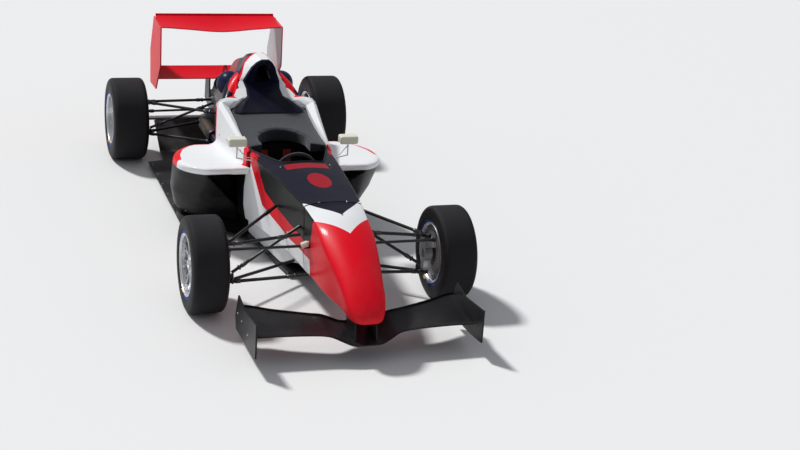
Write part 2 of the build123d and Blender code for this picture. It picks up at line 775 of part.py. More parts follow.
# Crash box behind the gearbox, with the two plates that carry the wing and a tow eye below
CRASH_END = 495
CRASH_SECTIONS = [
    (behind(GEARBOX_BACK + SEAT_GAP), 70, 230, 360),
    (behind(CRASH_END), 52, 262, 350),
]
WING_PLATE_X = 56
WING_PLATE_THICKNESS = 10
WING_PLATE_OUTLINE = [(behind(300), 300), (behind(470), 300), (behind(450), 530), (behind(330), 530)]
TOW_EYE_RADIUS = 22
TOW_EYE_WALL = 11
TOW_EYE_THICKNESS = 12
TOW_EYE_Z = 228
with BuildPart() as rear_crash_box:
    loft([case_section(*row) for row in CRASH_SECTIONS], ruled=True)
    extrude(
        polygon(side_plane(WING_PLATE_X - WING_PLATE_THICKNESS / 2), WING_PLATE_OUTLINE),
        amount=WING_PLATE_THICKNESS,
    )
    mirror(about=Plane.YZ)
    with BuildSketch(side_plane(-TOW_EYE_THICKNESS / 2)):
        with Locations((behind(CRASH_END - TOW_EYE_RADIUS - TOW_EYE_WALL), TOW_EYE_Z)):
            Circle(TOW_EYE_RADIUS + TOW_EYE_WALL)
            Rectangle(
                2 * (TOW_EYE_RADIUS + TOW_EYE_WALL), 60, align=(Align.CENTER, Align.MIN),
            )
            Circle(TOW_EYE_RADIUS, mode=Mode.SUBTRACT)
    extrude(amount=TOW_EYE_THICKNESS)
    add(rear_wing_lower.part, mode=Mode.SUBTRACT)
    above_wing = rear_crash_box.solids().sort_by(SortBy.VOLUME)[:-1]
    if above_wing:
        add(above_wing, mode=Mode.SUBTRACT)

with BuildPart() as rain_light:
    with BuildSketch(cross_plane(behind(CRASH_END + SEAT_GAP))):
        with Locations((0, 308)):
            RectangleRounded(90, 60, 8)
    extrude(amount=-26)

# Exhaust on the right side: port, pipe and silencer, low beside the gearbox
MUFFLER_RADIUS = 46
MUFFLER_X = -212
MUFFLER_Z = 320
MUFFLER_START = -600
MUFFLER_LENGTH = 300
PIPE_RADIUS = 24
PORT_RADIUS = 21
TAILPIPE_END = -190
PORT_Y = at(TUB_END + ENGINE_LENGTH - 200)
with BuildPart() as exhaust:
    with BuildSketch(cross_plane(behind(MUFFLER_START))):
        with Locations((MUFFLER_X, MUFFLER_Z)):
            Circle(MUFFLER_RADIUS)
    extrude(amount=-MUFFLER_LENGTH)
    fillet(exhaust.edges().filter_by(GeomType.CIRCLE), 14)
    add(tube_between(
        (-ENGINE_HALF - SEAT_GAP, PORT_Y, MUFFLER_Z), (MUFFLER_X, PORT_Y, MUFFLER_Z), PORT_RADIUS,
    ))
    add(tube_between(
        (MUFFLER_X, PORT_Y - PIPE_RADIUS, MUFFLER_Z), (MUFFLER_X, behind(TAILPIPE_END), MUFFLER_Z),
        PIPE_RADIUS,
    ))

# Suspension. The places of the eyes are shared by the wishbones and the uprights.
FRONT_UPPER_Z = 376
FRONT_LOWER_Z = 155
REAR_UPPER_Z = 405
REAR_LOWER_Z = 176
REAR_PIN_X = 600
EYE_RADIUS = 19
EYE_HEIGHT = 20
LEG_RADIUS = 9.5
LINK_RADIUS = 8
PUSHROD_RADIUS = 9
PUSHROD_LUG_RADIUS = 13
TOE_ARM = 80
TOE_Z = 310
# Wishbones: height at the eye, then y, x and height of each inner end
FRONT_ARMS = [
    (FRONT_UPPER_Z, (at(-18), 172, 425), (at(410), 204, 440)),
    (FRONT_LOWER_Z, (at(-134), 138, 229), (at(352), 96, 118)),
]
REAR_ARMS = [
    (REAR_UPPER_Z, (behind(-270), 95, 388), (behind(140), 75, 372)),
    (REAR_LOWER_Z, (behind(-360), 95, 200), (behind(140), 75, 222)),
]
# Pushrods: foot on the lower wishbone, then the inner end
FRONT_PUSHROD = [(545, at(6), 208), (160, at(34), 456)]
REAR_PUSHROD = [(552, behind(-34), 222), (100, behind(-34), 398)]


def wishbone(x_eye, y_eye, z_eye, inner_ends):
    """Arm with an upright eye at its outer end and two legs."""
    with BuildPart() as arm:
        with BuildSketch(Plane.XY.offset(z_eye - EYE_HEIGHT / 2)):
            with Locations((x_eye, y_eye)):
                Circle(EYE_RADIUS)
        extrude(amount=EYE_HEIGHT)
        for y, x, z in inner_ends:
            add(tube_between((x_eye, y_eye, z_eye), (x, y, z), LEG_RADIUS))
        with BuildSketch(Plane.XY.offset(z_eye - EYE_RADIUS)):
            with Locations((x_eye, y_eye)):
                Circle(KINGPIN_RADIUS + RUNNING_GAP)
        extrude(amount=2 * EYE_RADIUS, mode=Mode.SUBTRACT)
    return arm.part


def pushrod_lug(foot, z_arm):
    """Upright lug on the lower wishbone, just under the pushrod's foot."""
    x, y, z = foot
    return tube_between((x, y, z_arm), (x, y, z - PUSHROD_RADIUS - SEAT_GAP), PUSHROD_LUG_RADIUS)


with BuildPart() as front_wishbones:
    for z_eye, *inner_ends in FRONT_ARMS:
        add(wishbone(KINGPIN_X, at(0), z_eye, inner_ends))
    add(pushrod_lug(FRONT_PUSHROD[0], FRONT_LOWER_Z))
    mirror(about=Plane.YZ)
    add(TUB_CLEARED, mode=Mode.SUBTRACT)
    add(NOSE_CLEARED, mode=Mode.SUBTRACT)

with BuildPart() as front_pushrods:
    add(tube_between(*FRONT_PUSHROD, PUSHROD_RADIUS))
    mirror(about=Plane.YZ)
    add(TUB_CLEARED, mode=Mode.SUBTRACT)
    add(NOSE_CLEARED, mode=Mode.SUBTRACT)
    add(front_wishbones.part, mode=Mode.SUBTRACT)

with BuildPart() as rear_wishbones:
    for z_eye, *inner_ends in REAR_ARMS:
        add(wishbone(REAR_PIN_X, behind(0), z_eye, inner_ends))
    add(pushrod_lug(REAR_PUSHROD[0], REAR_LOWER_Z))
    mirror(about=Plane.YZ)
    add(gearbox.part, mode=Mode.SUBTRACT)

with BuildPart() as rear_links:
    add(tube_between(
        (REAR_PIN_X, behind(TOE_ARM), TOE_Z), (60, behind(TOE_ARM + 30), TOE_Z), LINK_RADIUS,
    ))
    with BuildSketch(Plane.XY.offset(TOE_Z - ROD_END_HEIGHT / 2)):
        with Locations((REAR_PIN_X, behind(TOE_ARM))):
            Circle(ROD_END_RADIUS)
    extrude(amount=ROD_END_HEIGHT)
    add(tube_between(*REAR_PUSHROD, PUSHROD_RADIUS))
    mirror(about=Plane.YZ)
    add(gearbox.part, mode=Mode.SUBTRACT)
    add(rear_wishbones.part, mode=Mode.SUBTRACT)

# Wheels and uprights. The distances outboard are measured from the upright's pin.
FLANGE_THICKNESS = 7
TREAD_EDGE = 26
BEAD_INSET = 7
SPINDLE_RADIUS = 26
DISC_RADIUS = 128
DISC_THICKNESS = 20
DISC_OUT = 32
HUB_RADIUS = 46
SPOKE_OUT = 56
SPOKE_DEPTH = 18
NUT_RADIUS = 32
NUT_DEPTH = 26
UPRIGHT_RADIUS = 44
CALIPER_WALL = 18
CALIPER_INNER_RADIUS = 88
CALIPER_OUTER_RADIUS = 152
CALIPER_ARC = 50
ARM_THICKNESS = 12


def wheel_plane(side, y, track, radius, angle=0):
    """Plane through the wheel's axis: local x points outboard, local y along a radius.

    The radius points up, and forward of that by angle.
    """
    lean = radians(angle)
    return Plane(
        origin=(side * track / 2, y, radius),
        x_dir=(side, 0, 0),
        z_dir=(0, -side * cos(lean), -side * sin(lean)),
    )


def face_plane(side, x, y, z):
    """Plane square to the axle: local x is rearward on the left side, and normal outboard."""
    return Plane(origin=(side * x, y, z), x_dir=(0, side, 0), z_dir=(side, 0, 0))


def tyre(side, y, track, radius, width):
    """Slick tyre: full sidewalls, bevelled shoulders, beads between the flanges."""
    wall = width / 2
    half_profile = [
        (0, RIM_SEAT_RADIUS + SEAT_GAP),
        (wall - FLANGE_THICKNESS - BEAD_INSET, RIM_SEAT_RADIUS + SEAT_GAP),
        (wall, (RIM_FLANGE_RADIUS + radius) / 2),
        (wall - 3, radius - TREAD_EDGE),
        (wall - 11, radius - 9),
        (wall - TREAD_EDGE, radius),
        (0, radius),
    ]
    with BuildPart() as ring:
        with BuildSketch(wheel_plane(side, y, track, radius)):
            with BuildLine():
                Polyline(*half_profile, close=True)
            make_face()
            mirror(about=Plane.YZ)
        revolve(axis=Axis((side * track / 2, y, radius), (1, 0, 0)))
    return ring.part


def spoke():
    """Outline of one spoke, forked where it meets the rim."""
    root, fork, tip = HUB_RADIUS - 4, 118, RIM_SEAT_RADIUS - RIM_WALL + 2
    return polygon(Plane.XY, [
        (root, -12), (fork, -8), (tip, -25), (tip, -12), (fork + 10, 0),
        (tip, 12), (tip, 25), (fork, 8), (root, 12),
    ])


def rim(side, y, track, radius, width):
    """Rim barrel with flanges, a ring of forked spokes and the centre nut."""
    edge = width / 2 - 4 - SEAT_GAP
    inside = edge - FLANGE_THICKNESS + SEAT_GAP
    seat = RIM_SEAT_RADIUS
    half_profile = [
        (0, seat - RIM_WALL), (edge, seat - RIM_WALL), (edge, RIM_FLANGE_RADIUS),
        (inside, RIM_FLANGE_RADIUS), (inside, seat), (0, seat),
    ]
    with BuildPart() as wheel:
        with BuildSketch(wheel_plane(side, y, track, radius)):
            with BuildLine():
                Polyline(*half_profile, close=True)
            make_face()
            mirror(about=Plane.YZ)
        revolve(axis=Axis((side * track / 2, y, radius), (1, 0, 0)))
        with BuildSketch(face_plane(side, track / 2 + SPOKE_OUT, y, radius)):
            Circle(HUB_RADIUS)
            with PolarLocations(0, SPOKE_COUNT):
                add(spoke())
        extrude(amount=SPOKE_DEPTH)
        with BuildSketch(face_plane(side, track / 2 + SPOKE_OUT, y, radius)):
            RegularPolygon(NUT_RADIUS, 6)
        extrude(amount=NUT_DEPTH)
    return wheel.part


def brake_disc(side, y, track, radius, x_pin):
    """Hub with its spindle, the disc's bell and the disc."""
    pin = x_pin - track / 2
    face = SPOKE_OUT - SEAT_GAP
    with BuildPart() as disc:
        with BuildSketch(wheel_plane(side, y, track, radius)):
            with BuildLine():
                Polyline(
                    (pin - UPRIGHT_RADIUS / 2, 0),
                    (pin - UPRIGHT_RADIUS / 2, SPINDLE_RADIUS),
                    (pin + DISC_OUT, SPINDLE_RADIUS),
                    (pin + DISC_OUT, DISC_RADIUS),
                    (pin + DISC_OUT + DISC_THICKNESS, DISC_RADIUS),
                    (pin + DISC_OUT + DISC_THICKNESS, HUB_RADIUS),
                    (face, HUB_RADIUS),
                    (face, 0),
                    close=True,
                )
            make_face()
        revolve(axis=Axis((side * track / 2, y, radius), (1, 0, 0)))
    return disc.part


def caliper(side, y, track, radius, x_pin, angle):
    """Brake caliper that straddles the disc, with its foot on the bearing housing."""
    pin = x_pin - track / 2
    inner = pin + DISC_OUT - PASSING_GAP - CALIPER_WALL
    slot_start = pin + DISC_OUT - PASSING_GAP
    slot_end = pin + DISC_OUT + DISC_THICKNESS + PASSING_GAP
    outer = slot_end + CALIPER_WALL
    with BuildPart() as body:
        with BuildSketch(wheel_plane(side, y, track, radius, angle - CALIPER_ARC / 2)):
            with BuildLine():
                Polyline(
                    (inner, CALIPER_INNER_RADIUS), (slot_start, CALIPER_INNER_RADIUS),
                    (slot_start, DISC_RADIUS + PASSING_GAP), (slot_end, DISC_RADIUS + PASSING_GAP),
                    (slot_end, CALIPER_INNER_RADIUS), (outer, CALIPER_INNER_RADIUS),
                    (outer, CALIPER_OUTER_RADIUS), (inner, CALIPER_OUTER_RADIUS), close=True,
                )
            make_face()
        revolve(axis=Axis((side * track / 2, y, radius), (1, 0, 0)), revolution_arc=CALIPER_ARC)
        with BuildSketch(face_plane(side, x_pin + inner - pin, y, radius)):
            with Locations((side * (-1 if angle > 0 else 1) * CALIPER_INNER_RADIUS / 2, 0)):
                Rectangle(CALIPER_INNER_RADIUS + 12, 50)
        extrude(amount=ARM_THICKNESS)
    return body.part


def upright(side, y, track, radius, x_pin, z_upper, z_lower, caliper_angle):
    """Upright: bearing housing, posts to both wishbone eyes, kingpin and brake caliper."""
    low = z_lower + EYE_HEIGHT / 2 + 7
    high = z_upper - EYE_HEIGHT / 2 - 7
    inner = x_pin - UPRIGHT_RADIUS / 2
    with BuildPart() as post:
        with BuildSketch(face_plane(side, inner, y, radius)):
            Circle(UPRIGHT_RADIUS)
            with Locations((0, (low + high) / 2 - radius)):
                Rectangle(UPRIGHT_RADIUS, high - low)
        extrude(amount=UPRIGHT_RADIUS)
        with BuildSketch(Plane.XY.offset(z_lower - EYE_HEIGHT / 2)):
            with Locations((side * x_pin, y)):
                Circle(KINGPIN_RADIUS)
        extrude(amount=z_upper - z_lower + EYE_HEIGHT)
        add(caliper(side, y, track, radius, x_pin, caliper_angle))
        with BuildSketch(face_plane(side, inner, y, radius)):
            Circle(SPINDLE_RADIUS + RUNNING_GAP)
        extrude(amount=2 * UPRIGHT_RADIUS, mode=Mode.SUBTRACT)
    return post.part


def rod_arm(side, x_pin, y, reach, z_top, z_seat, radius):
    """Flat arm from the pin to a rod's end, with the post that the rod end sits on."""
    ahead = -1 if reach < 0 else 1
    with BuildPart() as arm:
        extrude(
            polygon(Plane.XY.offset(z_top), [
                (side * (x_pin - 16), y), (side * (x_pin + 16), y),
                (side * (x_pin + ROD_END_RADIUS), y + reach),
                (side * (x_pin - ROD_END_RADIUS), y + reach),
            ]),
            amount=-ARM_THICKNESS,
        )
        with BuildSketch(Plane.XY.offset(z_top - ARM_THICKNESS)):
            with Locations((side * x_pin, y + reach)):
                Circle(ROD_END_RADIUS)
        extrude(amount=z_seat - z_top + ARM_THICKNESS)
        with BuildSketch(side_plane(side * (x_pin - 2 * UPRIGHT_RADIUS))):
            with Locations((y, radius)):
                Circle(SPINDLE_RADIUS + RUNNING_GAP)
        extrude(amount=side * 4 * UPRIGHT_RADIUS, mode=Mode.SUBTRACT)
    return arm.part


# Columns: name, side (+1 is left), y of the axle, track, tyre radius, tyre width, x of the
# upright's pin, heights of its eyes, angle of the caliper forward of upright, reach of the
# arm behind the axle, top of that arm, and the height of the rod end's seat
FRONT_CORNER = (
    FRONT_AXLE_Y, FRONT_TRACK, FRONT_TYRE_RADIUS, FRONT_TYRE_WIDTH, KINGPIN_X, FRONT_UPPER_Z,
    FRONT_LOWER_Z, -90, -STEERING_ARM, FRONT_UPPER_Z - EYE_HEIGHT / 2 - 9,
    RACK_Z - ROD_END_HEIGHT / 2 - ROD_END_LIFT,
)
REAR_CORNER = (
    REAR_AXLE_Y, REAR_TRACK, REAR_TYRE_RADIUS, REAR_TYRE_WIDTH, REAR_PIN_X, REAR_UPPER_Z,
    REAR_LOWER_Z, 90, TOE_ARM, TOE_Z - ROD_END_HEIGHT / 2 - SEAT_GAP,
    TOE_Z - ROD_END_HEIGHT / 2 - SEAT_GAP,
)
CORNERS = [
    ("front_left", 1, *FRONT_CORNER),
    ("front_right", -1, *FRONT_CORNER),
    ("rear_left", 1, *REAR_CORNER),
    ("rear_right", -1, *REAR_CORNER),
]

pieces = {
    "monocoque": monocoque,
    "nose_cone": nose_cone,
    "front_wing": front_wing,
    "front_wing_endplates": front_wing_endplates,
    "front_wing_pylons": front_wing_pylons,
    "floor": floor,
    "sidepod_left": sidepod_left,
    "sidepod_right": sidepod_right,
    "radiators": radiators,
    "headrest": headrest,
    "cockpit_shroud": cockpit_shroud,
    "roll_hoop": roll_hoop,
    "engine": engine,
    "engine_cover": engine_cover,
    "gearbox": gearbox,
    "seat": seat,
    "dashboard": dashboard,
    "steering_wheel": steering_wheel,
    "steering_rack": steering_rack,
    "mirrors": mirrors,
    "rear_wing_upper": rear_wing_upper,
    "rear_wing_lower": rear_wing_lower,
    "rear_wing_endplates": rear_wing_endplates,
    "rear_crash_box": rear_crash_box,
    "rain_light": rain_light,
    "exhaust": exhaust,
    "front_wishbones": front_wishbones,
    "front_pushrods": front_pushrods,
    "rear_wishbones": rear_wishbones,
    "rear_links": rear_links,
}

for (name, side, y, track, radius, width, x_pin, z_upper, z_lower, caliper_angle,
     reach, z_arm, z_seat) in CORNERS:
    with BuildPart() as tyre_part:
        add(tyre(side, y, track, radius, width))
    with BuildPart() as rim_part:
        add(rim(side, y, track, radius, width))
    with BuildPart() as disc_part:
        add(brake_disc(side, y, track, radius, x_pin))
    with BuildPart() as upright_part:
        add(upright(side, y, track, radius, x_pin, z_upper, z_lower, caliper_angle))
        add(rod_arm(side, x_pin, y, reach, z_arm, z_seat, radius))
    pieces["tyre_" + name] = tyre_part
    pieces["rim_" + name] = rim_part
    pieces["brake_disc_" + name] = disc_part
    pieces["upright_" + name] = upright_part

# Drive shafts, from their stubs in the gearbox to the rear hubs
for name, side in (("left", 1), ("right", -1)):
    shaft_end = REAR_PIN_X - UPRIGHT_RADIUS / 2 - SEAT_GAP
    with BuildPart() as shaft_part:
        for start, end, shaft_radius in (
            (OUTPUT_X - STUB_DEPTH, OUTPUT_X + 30, STUB_RADIUS), (OUTPUT_X, shaft_end, SHAFT_RADIUS),
        ):
            add(tube_between(
                (side * start, REAR_AXLE_Y, REAR_TYRE_RADIUS),
                (side * end, REAR_AXLE_Y, REAR_TYRE_RADIUS),
                shaft_radius,
            ))
    pieces["drive_shaft_" + name] = shaft_part

os.makedirs("parts", exist_ok=True)
for name, piece in pieces.items():
    piece.part.label = name
    export_step(piece.part, f"parts/{name}.step")
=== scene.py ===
# %% [markdown]
# # A single-seat racing car, dressed
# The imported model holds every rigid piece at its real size. This script gives those
# pieces their finishes, puts finer forms in place of some, adds the small things that
# a step closer shows, and sets up a camera, a pale floor and soft light.

import math

import bmesh
import bpy
from mathutils import Matrix, Vector
from mathutils.bvhtree import BVHTree


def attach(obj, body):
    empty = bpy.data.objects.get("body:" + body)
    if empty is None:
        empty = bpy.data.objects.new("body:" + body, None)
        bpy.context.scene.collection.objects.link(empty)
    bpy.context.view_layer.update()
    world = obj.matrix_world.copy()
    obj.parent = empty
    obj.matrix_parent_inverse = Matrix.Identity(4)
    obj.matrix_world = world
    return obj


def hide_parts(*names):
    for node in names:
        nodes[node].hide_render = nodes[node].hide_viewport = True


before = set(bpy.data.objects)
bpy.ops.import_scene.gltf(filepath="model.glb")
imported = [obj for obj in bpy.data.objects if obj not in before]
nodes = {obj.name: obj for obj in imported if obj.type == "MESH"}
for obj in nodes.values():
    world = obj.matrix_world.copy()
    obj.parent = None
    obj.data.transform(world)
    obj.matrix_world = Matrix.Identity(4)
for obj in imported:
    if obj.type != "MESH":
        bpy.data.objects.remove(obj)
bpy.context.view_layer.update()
scene = bpy.context.scene
print("pieces in the packed model:", len(nodes))

# %% [markdown]
# ## The camera
# The photograph was taken from above, ahead of the car and to its right, with a
# long lens. The camera's place, its heading, its tilt and its small roll were solved
# from the tyres. A heading turns from the car's rearward axis towards its left.

# %% Camera
FILM_WIDTH = 36.0
PHOTO_WIDTH = 800
FOCAL_PIXELS = 1498.55
CAMERA_PLACE = Vector((-2.2921, -8.7197, 3.3714))
CAMERA_HEADING = 0.347
CAMERA_TILT = 0.352
CAMERA_ROLL = 0.080


def camera_matrix(place, heading, tilt, roll):
    """World matrix of a camera that looks along its own negative Z."""
    ahead = Vector((
        math.sin(heading) * math.cos(tilt),
        math.cos(heading) * math.cos(tilt),
        -math.sin(tilt),
    ))
    level = ahead.cross(Vector((0, 0, 1))).normalized()
    above = level.cross(ahead)
    right = level * math.cos(roll) + above * math.sin(roll)
    up = above * math.cos(roll) - level * math.sin(roll)
    turned = Matrix((right, up, -ahead)).transposed().to_4x4()
    return Matrix.Translation(place) @ turned


camera_data = bpy.data.cameras.new("camera")
camera_data.sensor_fit = "HORIZONTAL"
camera_data.sensor_width = FILM_WIDTH
camera_data.lens = FOCAL_PIXELS * FILM_WIDTH / PHOTO_WIDTH
camera = bpy.data.objects.new("camera", camera_data)
camera.matrix_world = camera_matrix(CAMERA_PLACE, CAMERA_HEADING, CAMERA_TILT, CAMERA_ROLL)
scene.collection.objects.link(camera)
scene.camera = camera
print("lens in mm:", round(camera_data.lens, 2))

# %% [markdown]
# ## Node trees as plain expressions
# A finish, or a shape that repeats, is easier to read as arithmetic than as a web of
# nodes. One small class wraps a socket, and each operator adds the Math node that it
# stands for. The same class serves shader trees and geometry trees.

# %% Sockets with operators
class Field:
    """One output of a node tree, as a term of an expression."""

    def __init__(self, web, socket):
        self.web = web
        self.socket = socket

    def math(self, operation, *terms):
        return self.web.node("ShaderNodeMath", {"operation": operation}, terms)

    def __add__(self, other):
        return self.math("ADD", self, other)

    def __radd__(self, other):
        return self.math("ADD", other, self)

    def __sub__(self, other):
        return self.math("SUBTRACT", self, other)

    def __rsub__(self, other):
        return self.math("SUBTRACT", other, self)

    def __mul__(self, other):
        return self.math("MULTIPLY", self, other)

    def __rmul__(self, other):
        return self.math("MULTIPLY", other, self)

    def __truediv__(self, other):
        return self.math("DIVIDE", self, other)

    def __mod__(self, other):
        return self.math("FLOORED_MODULO", self, other)

    def __pow__(self, other):
        return self.math("POWER", self, other)

    def __gt__(self, other):
        return self.math("GREATER_THAN", self, other)

    def __lt__(self, other):
        return self.math("LESS_THAN", self, other)

    def __abs__(self):
        return self.math("ABSOLUTE", self)

    def sine(self):
        return self.math("SINE", self)

    def floor(self):
        return self.math("FLOOR", self)

    def either(self, other):
        """The larger of two masks."""
        return self.math("MAXIMUM", self, other)

    def rise(self, low, high):
        """Smooth step from 0 at low to 1 at high."""
        return self.web.node(
            "ShaderNodeMapRange",
            {"interpolation_type": "SMOOTHSTEP", "clamp": True},
            {"Value": self, "From Min": low, "From Max": high},
        )

    def along(self, points):
        """Height of a broken line through (place, height) points, at this place."""
        height = points[0][1]
        for (start, low), (end, high) in zip(points, points[1:]):
            height = height + self.web.node(
                "ShaderNodeMapRange", {"clamp": True},
                {"Value": self, "From Min": start, "From Max": end, "To Max": high - low},
            )
        return height


class Web:
    """A node tree that is written as expressions."""

    def __init__(self, tree):
        self.tree = tree

    def node(self, kind, settings=(), inputs=(), output=0):
        """Adds a node: its settings first, then the values or links of its sockets."""
        made = self.tree.nodes.new(kind)
        for key, value in dict(settings).items():
            setattr(made, key, value)
        pairs = inputs.items() if isinstance(inputs, dict) else enumerate(inputs)
        for key, value in pairs:
            self.feed(made.inputs[key], value)
        return Field(self, made.outputs[output])

    def feed(self, socket, value):
        """Links a field to a socket, or sets the socket's own value."""
        if isinstance(value, Field):
            self.tree.links.new(value.socket, socket)
        else:
            socket.default_value = value

    def split(self, vector):
        """The three parts of a vector field."""
        apart = self.node("ShaderNodeSeparateXYZ", {}, [vector]).socket.node
        return [Field(self, out) for out in apart.outputs]


# %% [markdown]
# ## A finish
# Every finish is one Principled shader. A finish reads the place of a point on its
# piece in metres, so stripes and weaves stay where they are on the car.

# %% The class of finishes
class Finish(Web):
    """A material under construction."""

    def __init__(self, name, **values):
        self.material = bpy.data.materials.new(name)
        self.material.use_nodes = True
        super().__init__(self.material.node_tree)
        self.shader = self.tree.nodes["Principled BSDF"]
        self.place = self.node("ShaderNodeTexCoord", output="Object")
        self.x, self.y, self.z = self.split(self.place)
        self.facing = self.split(self.node("ShaderNodeTexCoord", output="Normal"))
        self.set(**values)

    def set(self, **values):
        """Sets sockets of the shader by name, with _ for a space."""
        for key, value in values.items():
            if isinstance(value, tuple):
                value = (*value, 1.0)
            self.feed(self.shader.inputs[key.replace("_", " ")], value)

    def noise(self, scale, detail=2.0, roughness=0.5, vector=None):
        return self.node(
            "ShaderNodeTexNoise", {}, {
                "Vector": vector or self.place, "Scale": scale, "Detail": detail,
                "Roughness": roughness,
            },
        )

    def mix(self, share, first, second):
        """Colour that goes from first to second as share goes from 0 to 1."""
        made = self.node("ShaderNodeMix", {"data_type": "RGBA"}, {"Factor": share}).socket.node
        colours = [socket for socket in made.inputs if socket.type == "RGBA"]
        for socket, value in zip(colours, (first, second)):
            self.feed(socket, value if isinstance(value, Field) else (*value, 1.0))
        return Field(self, next(out for out in made.outputs if out.type == "RGBA"))

    def layers(self, base, *painted):
        """Colours laid over a base in turn, each as (mask, colour)."""
        for mask, colour in painted:
            base = self.mix(mask, base, colour)
        return base

    def bump(self, height, distance):
        """A normal that follows a height field, with distance in metres."""
        inputs = {"Strength": 1.0, "Distance": distance, "Height": height}
        return self.node("ShaderNodeBump", {}, inputs, output="Normal")

    def flat_pair(self):
        """Two places along the surface, picked by the way that it faces."""
        nx, _, nz = [abs(part) for part in self.facing]
        upward = nz > 0.6
        sideways = nx > 0.6
        across = self.x + (self.y - self.x) * (sideways * (1 - upward))
        return across, self.y * upward + self.z * (1 - upward)


# %% [markdown]
# ## Where things are
# A station is a distance behind the front axle in millimetres, and the broken lines
# below follow the crease between the top and the flanks, and the stripes on them.

# %% Stations and measured lines
FRONT_AXLE = -1.234
REAR_AXLE = 1.486


def at(station):
    """Y in metres of a station in millimetres behind the front axle."""
    return FRONT_AXLE + station / 1000


def behind(station):
    """Y in metres of a station in millimetres behind the rear axle."""
    return REAR_AXLE + station / 1000


def line(*points):
    """A broken line's (place, height) points, from millimetres to metres."""
    return [(place / 1000, height / 1000) for place, height in points]


CREASE = line(
    (-700, 349), (-500, 453), (-300, 540), (-200, 578), (-100, 593), (0, 606), (200, 612),
    (605, 610), (1080, 616), (1552, 708),
)
STRIPE_LOW = line(
    (-155, 326), (55, 319), (221, 310), (478, 327), (630, 338), (694, 344), (778, 430),
    (865, 521), (999, 640),
)
STRIPE_HIGH = line((-160, 398), (202, 407), (370, 418), (517, 433), (630, 450), (701, 522),
                   (737, 568), (801, 640))
NOSE_EDGE = line((222, -157), (330, -154), (455, -169), (570, -204))
WHITE_BACK = line((135, 1030), (215, 1067), (338, 1046), (441, 997), (520, 893))
POD_TOP = line((870, 512), (1560, 462))
POD_TAIL = line((1130, 640), (1270, 624), (1403, 583), (1480, 530), (1532, 462))
TRIM = line(
    (697, 1552), (757, 1600), (790, 1676), (824, 1722), (875, 1768), (928, 1803), (1010, 1816),
)
FAIRING_EDGE = line(
    (700, 190), (752, 200), (757, 215), (790, 178), (826, 154), (881, 124), (928, 98), (965, 64),
    (988, 30),
)
SHROUD_WALL = line((930, 266), (1300, 302), (1510, 322), (1552, 326))
print("crease runs from and to, in m:", CREASE[0][0], CREASE[-1][0])

# %% [markdown]
# ## Paint
# The body is composite, sprayed in a few colours and lacquered. Under the lacquer a
# paint is one colour, but a car that has been driven carries a fine film of dust,
# faint ripples in the lacquer, and small chips where stones hit it. All paints share
# one recipe that takes the colour as an expression.

# %% Paint recipe
NAVY = (0.0055, 0.006, 0.017)
RED = (0.76, 0.003, 0.016)
DEEP_RED = (0.34, 0.004, 0.016)
WHITE = (0.80, 0.81, 0.82)
BLACK = (0.007, 0.007, 0.008)
CREAM = (0.76, 0.75, 0.62)
DUST = (0.16, 0.145, 0.125)
CHIP = (0.30, 0.29, 0.28)


def lacquered(name, paint, shine=0.06):
    """Painted and lacquered bodywork. paint takes the finish and gives its colour."""
    finish = Finish(name, Coat_Roughness=0.08, Specular_IOR_Level=0.08)
    film = finish.noise(5.0, 5.0, 0.6).rise(0.42, 0.78)
    low = 1 - finish.z.rise(0.02, 0.40)
    dust = film * 0.06 + low * film * 0.22
    chip_spots = finish.noise(420.0, 1.0, 0.4).rise(0.735, 0.745)
    struck = finish.facing[1].rise(-0.25, -0.75) * finish.noise(9.0).rise(0.45, 0.6)
    chips = chip_spots * struck
    ripple = finish.noise(70.0, 2.0) * 0.6 + finish.noise(900.0, 1.0) * 0.12
    finish.set(
        Base_Color=finish.layers(paint(finish), (dust, DUST), (chips, CHIP)),
        Roughness=0.36 + dust * 0.8 + chips * 0.3,
        Coat_Weight=shine - dust * 0.3 - chips * 0.1,
        Normal=finish.bump(ripple - chips * 0.5, 0.0004),
    )
    return finish


# %% [markdown]
# ## Woven carbon
# Bare carbon is a twill: each tow passes over two and under two, one step further in
# every row. A step function of the row and column numbers gives the pattern, and a
# sine across each tow gives its rounded back. The tows that run one way are painted
# lighter than the others: a painted sheen. The pattern is laid along whichever
# way the surface faces.

# %% Carbon recipe
TOW = 0.0042
CARBON = (0.0075, 0.0075, 0.009)


def twill(finish):
    """Mask of the tows that run one way, and the height of the weave."""
    across, up = finish.flat_pair()
    column = across / TOW
    row = up / TOW
    over = ((column.floor() + row.floor()) % 4) < 1.5
    backs = abs((column * math.pi).sine()) * over + abs((row * math.pi).sine()) * (1 - over)
    return over, backs


def carbon_finish(name, shine=0.08, film_share=0.06):
    finish = Finish(name, Coat_Roughness=0.12, Specular_IOR_Level=0.14)
    over, backs = twill(finish)
    film = finish.noise(4.0, 5.0, 0.6).rise(0.38, 0.8)
    low = 1 - finish.z.rise(0.02, 0.35)
    dust = film * film_share + low * film * 0.16
    # Tows that run one way are painted 1.9 times lighter: a painted sheen.
    weave_with_painted_sheen = finish.mix(over, CARBON, tuple(part * 1.9 for part in CARBON))
    finish.set(
        Base_Color=finish.mix(dust, weave_with_painted_sheen, DUST),
        Roughness=0.34 + dust * 1.2,
        Coat_Weight=shine - dust * 0.4,
        Normal=finish.bump(backs * 0.35 + finish.noise(60.0) * 0.4, 0.0003),
    )
    return finish


# %% [markdown]
# ## Livery of the cell and nose
# The top is navy back to the cockpit, then a white chevron, then the red nose. On
# each flank a near-black panel lies under the crease, a red stripe runs from the
# cockpit's rim to the nose, and the space below the stripe is white. A plain disc and
# a plain bar lie on the navy top.

# %% Livery as masks
DISC_CENTRE = (0.012, at(290))
DISC_HALF = (0.066, 0.112)
BAR_HALF = (0.128, 0.040)
BAR_PLACE = at(532)
NAVY_TIP, NAVY_SLOPE = 0.216, 1.257
WHITE_TIP, WHITE_SLOPE = 0.384, 1.163
RIM_FROM, RIM_INNER = 0.80, 0.215


